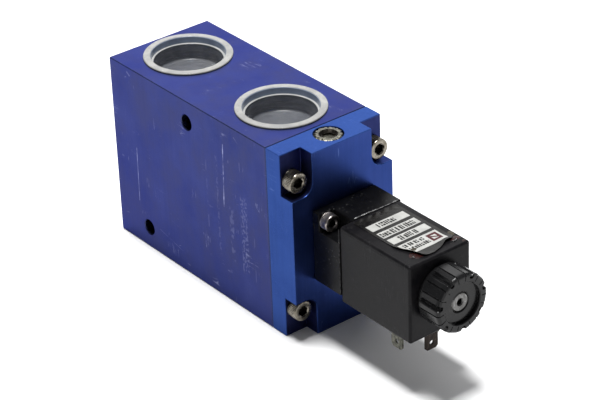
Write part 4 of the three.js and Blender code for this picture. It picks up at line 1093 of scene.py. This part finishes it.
def curl(points, radius):
    """A smooth thin strand through a few points, given as (x, y, height over the coil), thinner towards its ends."""
    points = [Vector((x, y, COIL_TOP + height)) for x, y, height in points]
    last, steps, taper = len(points) - 1, 8, 0.25
    path = []
    for index in range(last):
        a, b, c, d = (points[min(max(index + k, 0), last)] for k in (-1, 0, 1, 2))
        for step in range(steps):
            t = step / steps
            bend = (2 * a - 5 * b + 4 * c - d) * t * t + (3 * b - a - 3 * c + d) * t ** 3
            path.append(0.5 * (2 * b + (c - a) * t + bend))
    path.append(points[-1])
    last = len(path) - 1
    rows = []
    for index, here in enumerate(path):
        ahead = (path[min(index + 1, last)] - path[max(index - 1, 0)]).normalized()
        side = ahead.cross(Vector((0, 0, 1))).normalized()
        up = side.cross(ahead)
        thick = radius * (taper + (1 - taper) * sin(pi * index / last) ** 0.5)
        rows.append([here + side * a + up * b for a, b in circle(thick, 10)])
    return skinned(rows, (0, -1))


flakes = merged(
    curl([(170.4, 9.4, 0.1), (170.9, 10.3, 0.22), (170.6, 11.4, 0.2), (169.8, 11.9, 0.3)], 0.2),
    curl([(169.2, -9.4, 0.05), (169.7, -9, 0.2), (170, -8.5, 0.05)], 0.22),
)
piece("label_flakes", flakes, BEAD, "coil")

# ---- connector


def blade(top):
    """A flat plug blade standing on its tapered tip, its width along X."""
    half, thick, tip, taper = 3.15, 0.4, 11.8, 1
    outline = [
        (half - taper, tip), (half, tip + taper), (half, top), (-half, top), (-half, tip + taper), (taper - half, tip),
    ]
    body = softened(prism(outline, -thick, thick, "Y"), 0.12)
    return combine(body, [drill(0.9, -thick, thick, 0.12, axis="Y", centre=(0, tip + 3), segments=32)])


ground = blade(26.4)
ground.transform(Matrix.Rotation(pi / 2, 4, "Z"))
piece("blade_ground", moved(ground, GROUND_X), OXIDISED, "coil", ["ground_blade"])
for index, y in enumerate((-9, 9), 1):
    power = moved(blade(28.4), CONNECTOR_X, y)
    piece(f"blade_power_{index}", power, TINNED, "coil", [f"power_blade_{index}"])
low, high, upright = 22.55, 26.6, {"axis": "Z", "centre": (CONNECTOR_X, 0)}
insert = combine(rod(2.6, low, high, ease=0.2, **upright), [drill(1.3, low, high, 0.3, segments=48, **upright)])
piece("threaded_insert", insert, BRASS, "coil", ["connector_insert"])

# ---- coil nut

NUT_BACK, NUT_FRONT, NUT_RADIUS = 174.6, 187, 12.3
LOBES = 7
VALLEY = radians(118)  # where one of the valleys lies
GROOVE_AT = 0.315  # how far the grooves lie from a valley, as a share of a lobe


def grip_depth(angle):
    """How far the grip lies inside its full radius: each lobe has three flat ribs, parted by thin grooves, between
    two valleys that have a fine ridge in the middle."""
    share = ((angle - VALLEY) / tau * LOBES) % 1
    from_valley = min(share, 1 - share)
    valley, groove_half = 0.115, 0.024
    if from_valley < valley:
        ridge = 0.45 * max(0, 1 - from_valley / 0.03)
        return 1.15 * cos(from_valley / valley * pi / 2) ** 0.8 - ridge + 0.05
    if abs(from_valley - GROOVE_AT) < groove_half:
        return 0.45 * (1 - ((from_valley - GROOVE_AT) / groove_half) ** 2) + 0.05
    low, high = (valley, GROOVE_AT - groove_half) if from_valley < GROOVE_AT else (GROOVE_AT + groove_half, 0.5)
    middle, half = ((low + high) / 2, (high - low) / 2) if high < 0.5 else (0.5, 0.5 - low)
    flat = NUT_RADIUS * (cos(half / LOBES * tau) / cos((from_valley - middle) / LOBES * tau))
    return min(0.16, NUT_RADIUS - flat)


def coil_nut():
    """The round plastic nut: a grip, a recessed face with an eased rim, and a thin line across it at each groove."""
    back, front, radius = NUT_BACK, NUT_FRONT, NUT_RADIUS
    start, end = back + 1.5, front - 1  # of the grip

    def fluted(r, station, angle):
        if r < 11 or station < start - 0.01:
            return r
        return r - grip_depth(angle) * min(1, (station - start) / 0.5 + 0.15)

    blank = lathe([
        (4.1, start), (10, start), (10, back), (11.2, back), (11.4, back + 0.2), (11.4, back + 1.45),
        (12, start), (radius, start + 0.25), (radius, start + 0.6),
        *((radius, start + 0.6 + step * 1.6) for step in range(1, 6)),
        (radius, end - 0.1), (radius - 0.12, end + 0.25), (radius - 0.4, front - 0.35), (radius - 1, front - 0.05),
        (radius - 1.3, front), (10.8, front), (8.95, front), (8.65, front - 0.3), (8.55, front - 1.5),
        (4.5, front - 1.5), (4.1, front - 1.9),
    ], segments=LOBES * 88, warp=fluted)
    tools = []
    for lobe in range(LOBES):
        for groove in (-GROOVE_AT, GROOVE_AT):
            line = box((front - 0.28, front + 1), (9.3, 13.5), (-0.2, 0.2))
            line.transform(Matrix.Rotation(VALLEY + (lobe + groove) / LOBES * tau, 4, "X"))
            tools.append(moved(line, z=AXIS))
    return combine(blank, tools)


piece("nut", coil_nut(), NUT, "nut", ["coil_nut"])
piece("nut_washer", tube(7.3, 9.7, NUT_BACK, NUT_BACK + 1.3, ease=0.3), RUBBER, "nut", ["coil_nut_washer"])


def core():
    """The fixed core, its threaded stud and the exhaust hole through them."""
    radius, back, end, exhaust, rows = 4, 174.4, 185.4, 1.3, 88

    def wound(r, station, angle):
        if r != radius or not back + 0.5 < station < end - 0.5:
            return r
        return r - 0.4 * (0.5 + 0.5 * cos((station - angle / tau) * tau))

    return lathe([
        (exhaust, 148.6), (5.75, 148.6), (6.05, 148.9), (6.05, 172.1), (7, 172.1), (7, back - 0.3), (6.7, back),
        (radius - 0.4, back), *((radius, back + 0.5 + (end - back - 1) * row / rows) for row in range(rows + 1)),
        (radius - 0.5, end), (exhaust + 0.45, end), (exhaust, end - 0.45),
    ], segments=64, warp=wound)


piece("core", core(), MAGNET, "valve", ["fixed_core"])

# ---- port caps


def port_cap(x):
    """A soft cup-shaped cap: wide flange, collar, a step in the wall and a lightly crowned floor."""
    outline = [
        (0, -10.2), (14.3, -10.2, 0.5), (15, -3.2, 0.2), (16.55, -3.2, 0.25), (16.55, 0.05, 0.1), (18.4, 0.05, 0.1),
        (18.4, 0.42, 0.1), (18.15, 0.66, 0.12), (15.65, 0.78, 0.15), (15.3, 0.5, 0.2), (15.15, -2.1, 0.1),
        (14.3, -2.1, 0.15), (13.6, -8.7, 0.6), (12.4, -9, 0.3), (0, -8.85),
    ]
    return moved(lathe(outline, "Z", (0, 0), ease=0.1, steps=4, segments=128), x, 0, HEIGHT)


def cap_part(x):
    """Which look each place on a cap takes: flange, cup, the wall above the step, tinted blue as painted light from
    the blue block seen through it, or the step itself, lighter as a painted highlight.
    """
    flange, cup, wall, step = range(4)

    def which(middle):
        z, radius = middle.z - HEIGHT, hypot(middle.x - x, middle.y)
        if z < -2.18:
            return cup
        if radius < 15.48 and z < 0.6:
            return step if z < -2 else wall
        return cup if z < 0 else flange

    return which


for side, x in (("left", LEFT_PORT), ("right", RIGHT_PORT)):
    cap_looks = [CAP_RIM, CAP_CUP, CAP_WALL_BLOCK_SHOW_THROUGH, CAP_STEP_HIGHLIGHT]
    piece(f"cap_{side}", port_cap(x), cap_looks, f"{side}_cap", [f"port_cap_{side}"], cap_part(x))

# ---- springs

RETURN_FROM, RETURN_TO, RETURN_STROKE = 4.05, 40.75, 6
spring = piece(
    "return_coil", helix(8.2, 0.8, 6, RETURN_FROM, RETURN_TO), STAINLESS, "valve", ["return_spring"]
)
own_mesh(spring)
PLUNGER_FROM, PLUNGER_TO, PLUNGER_STROKE = 139.45, 148.55, 1.1
spring = piece(
    "plunger_coil", helix(2.5, 0.3, 5, PLUNGER_FROM, PLUNGER_TO, per_turn=20), STAINLESS, "valve",
    ["plunger_spring"],
)
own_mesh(spring)

# ---- the CAD nodes that stay

NODE_LOOKS = {
    ALUMINIUM: ["seat_insert", "bulkhead", "poppet_disc", "piston"],
    STAINLESS: ["seat_retaining_ring", "valve_stem", "spring_seat"],
    NICKEL: ["poppet_nut", "piston_nut", "tube_ring_nut", "armature_tube"],
    MAGNET: ["plunger", "coil_yoke_plate", "coil_yoke_sleeve"],
    BRASS: ["rod_bush", "pilot_nozzle"],
    COPPER: ["coil_winding"],
    BOBBIN: ["coil_bobbin"],
    RUBBER: [
        "seat_insert_o_ring", "bulkhead_o_ring", "rod_seal", "cover_o_ring", "poppet_seal_back", "poppet_seal_front",
        "piston_seal", "pilot_o_ring_1", "pilot_o_ring_2", "armature_tube_o_ring", "plunger_seal",
    ],
}
for look, names in NODE_LOOKS.items():
    for name in names:
        for material_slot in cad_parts[name].material_slots:
            material_slot.material = look

# ---- studio


def floor():
    bm = bmesh.new()
    bmesh.ops.create_grid(bm, x_segments=2, y_segments=2, size=6)
    f = Finish("white_paper")
    tone = f.span(f.noise(160, 2), 0.3, 0.7)
    f.set(colour=f.mix(tone, grey(0.9), grey(0.93)), rough=0.9, specular=0)
    mesh = taken(bm, "floor")
    mesh.materials.append(f.material)
    obj = add("floor", mesh)
    obj.location.z = -0.0001


def light(name, kind, power, place, back):
    """A light that shines from its place, with back pointing away from what it lights."""
    data = bpy.data.lights.new(name, kind)
    data.energy = power
    obj = add(name, data)
    obj.location = place
    obj.rotation_mode = "QUATERNION"
    obj.rotation_quaternion = back.to_track_quat("Z", "Y")
    return data


floor()
light("key", "SUN", 4.8, (0, 0, 0), Vector((-0.08, 0, 1))).angle = radians(17)
place = Vector((-1, 0.78, 0.75))
softbox = light("back_box", "AREA", 10.6, place, place - Vector((0, 0, 0.04)))
softbox.shape, softbox.size, softbox.size_y = "RECTANGLE", 1.6, 1
world = bpy.data.worlds.new("studio")
world.use_nodes = True
background = world.node_tree.nodes["Background"]
background.inputs["Color"].default_value = (0.97, 0.98, 1, 1)
background.inputs["Strength"].default_value = 0.22
bpy.context.scene.world = world
view = bpy.context.scene.view_settings
view.view_transform, view.look = "Standard", "None"
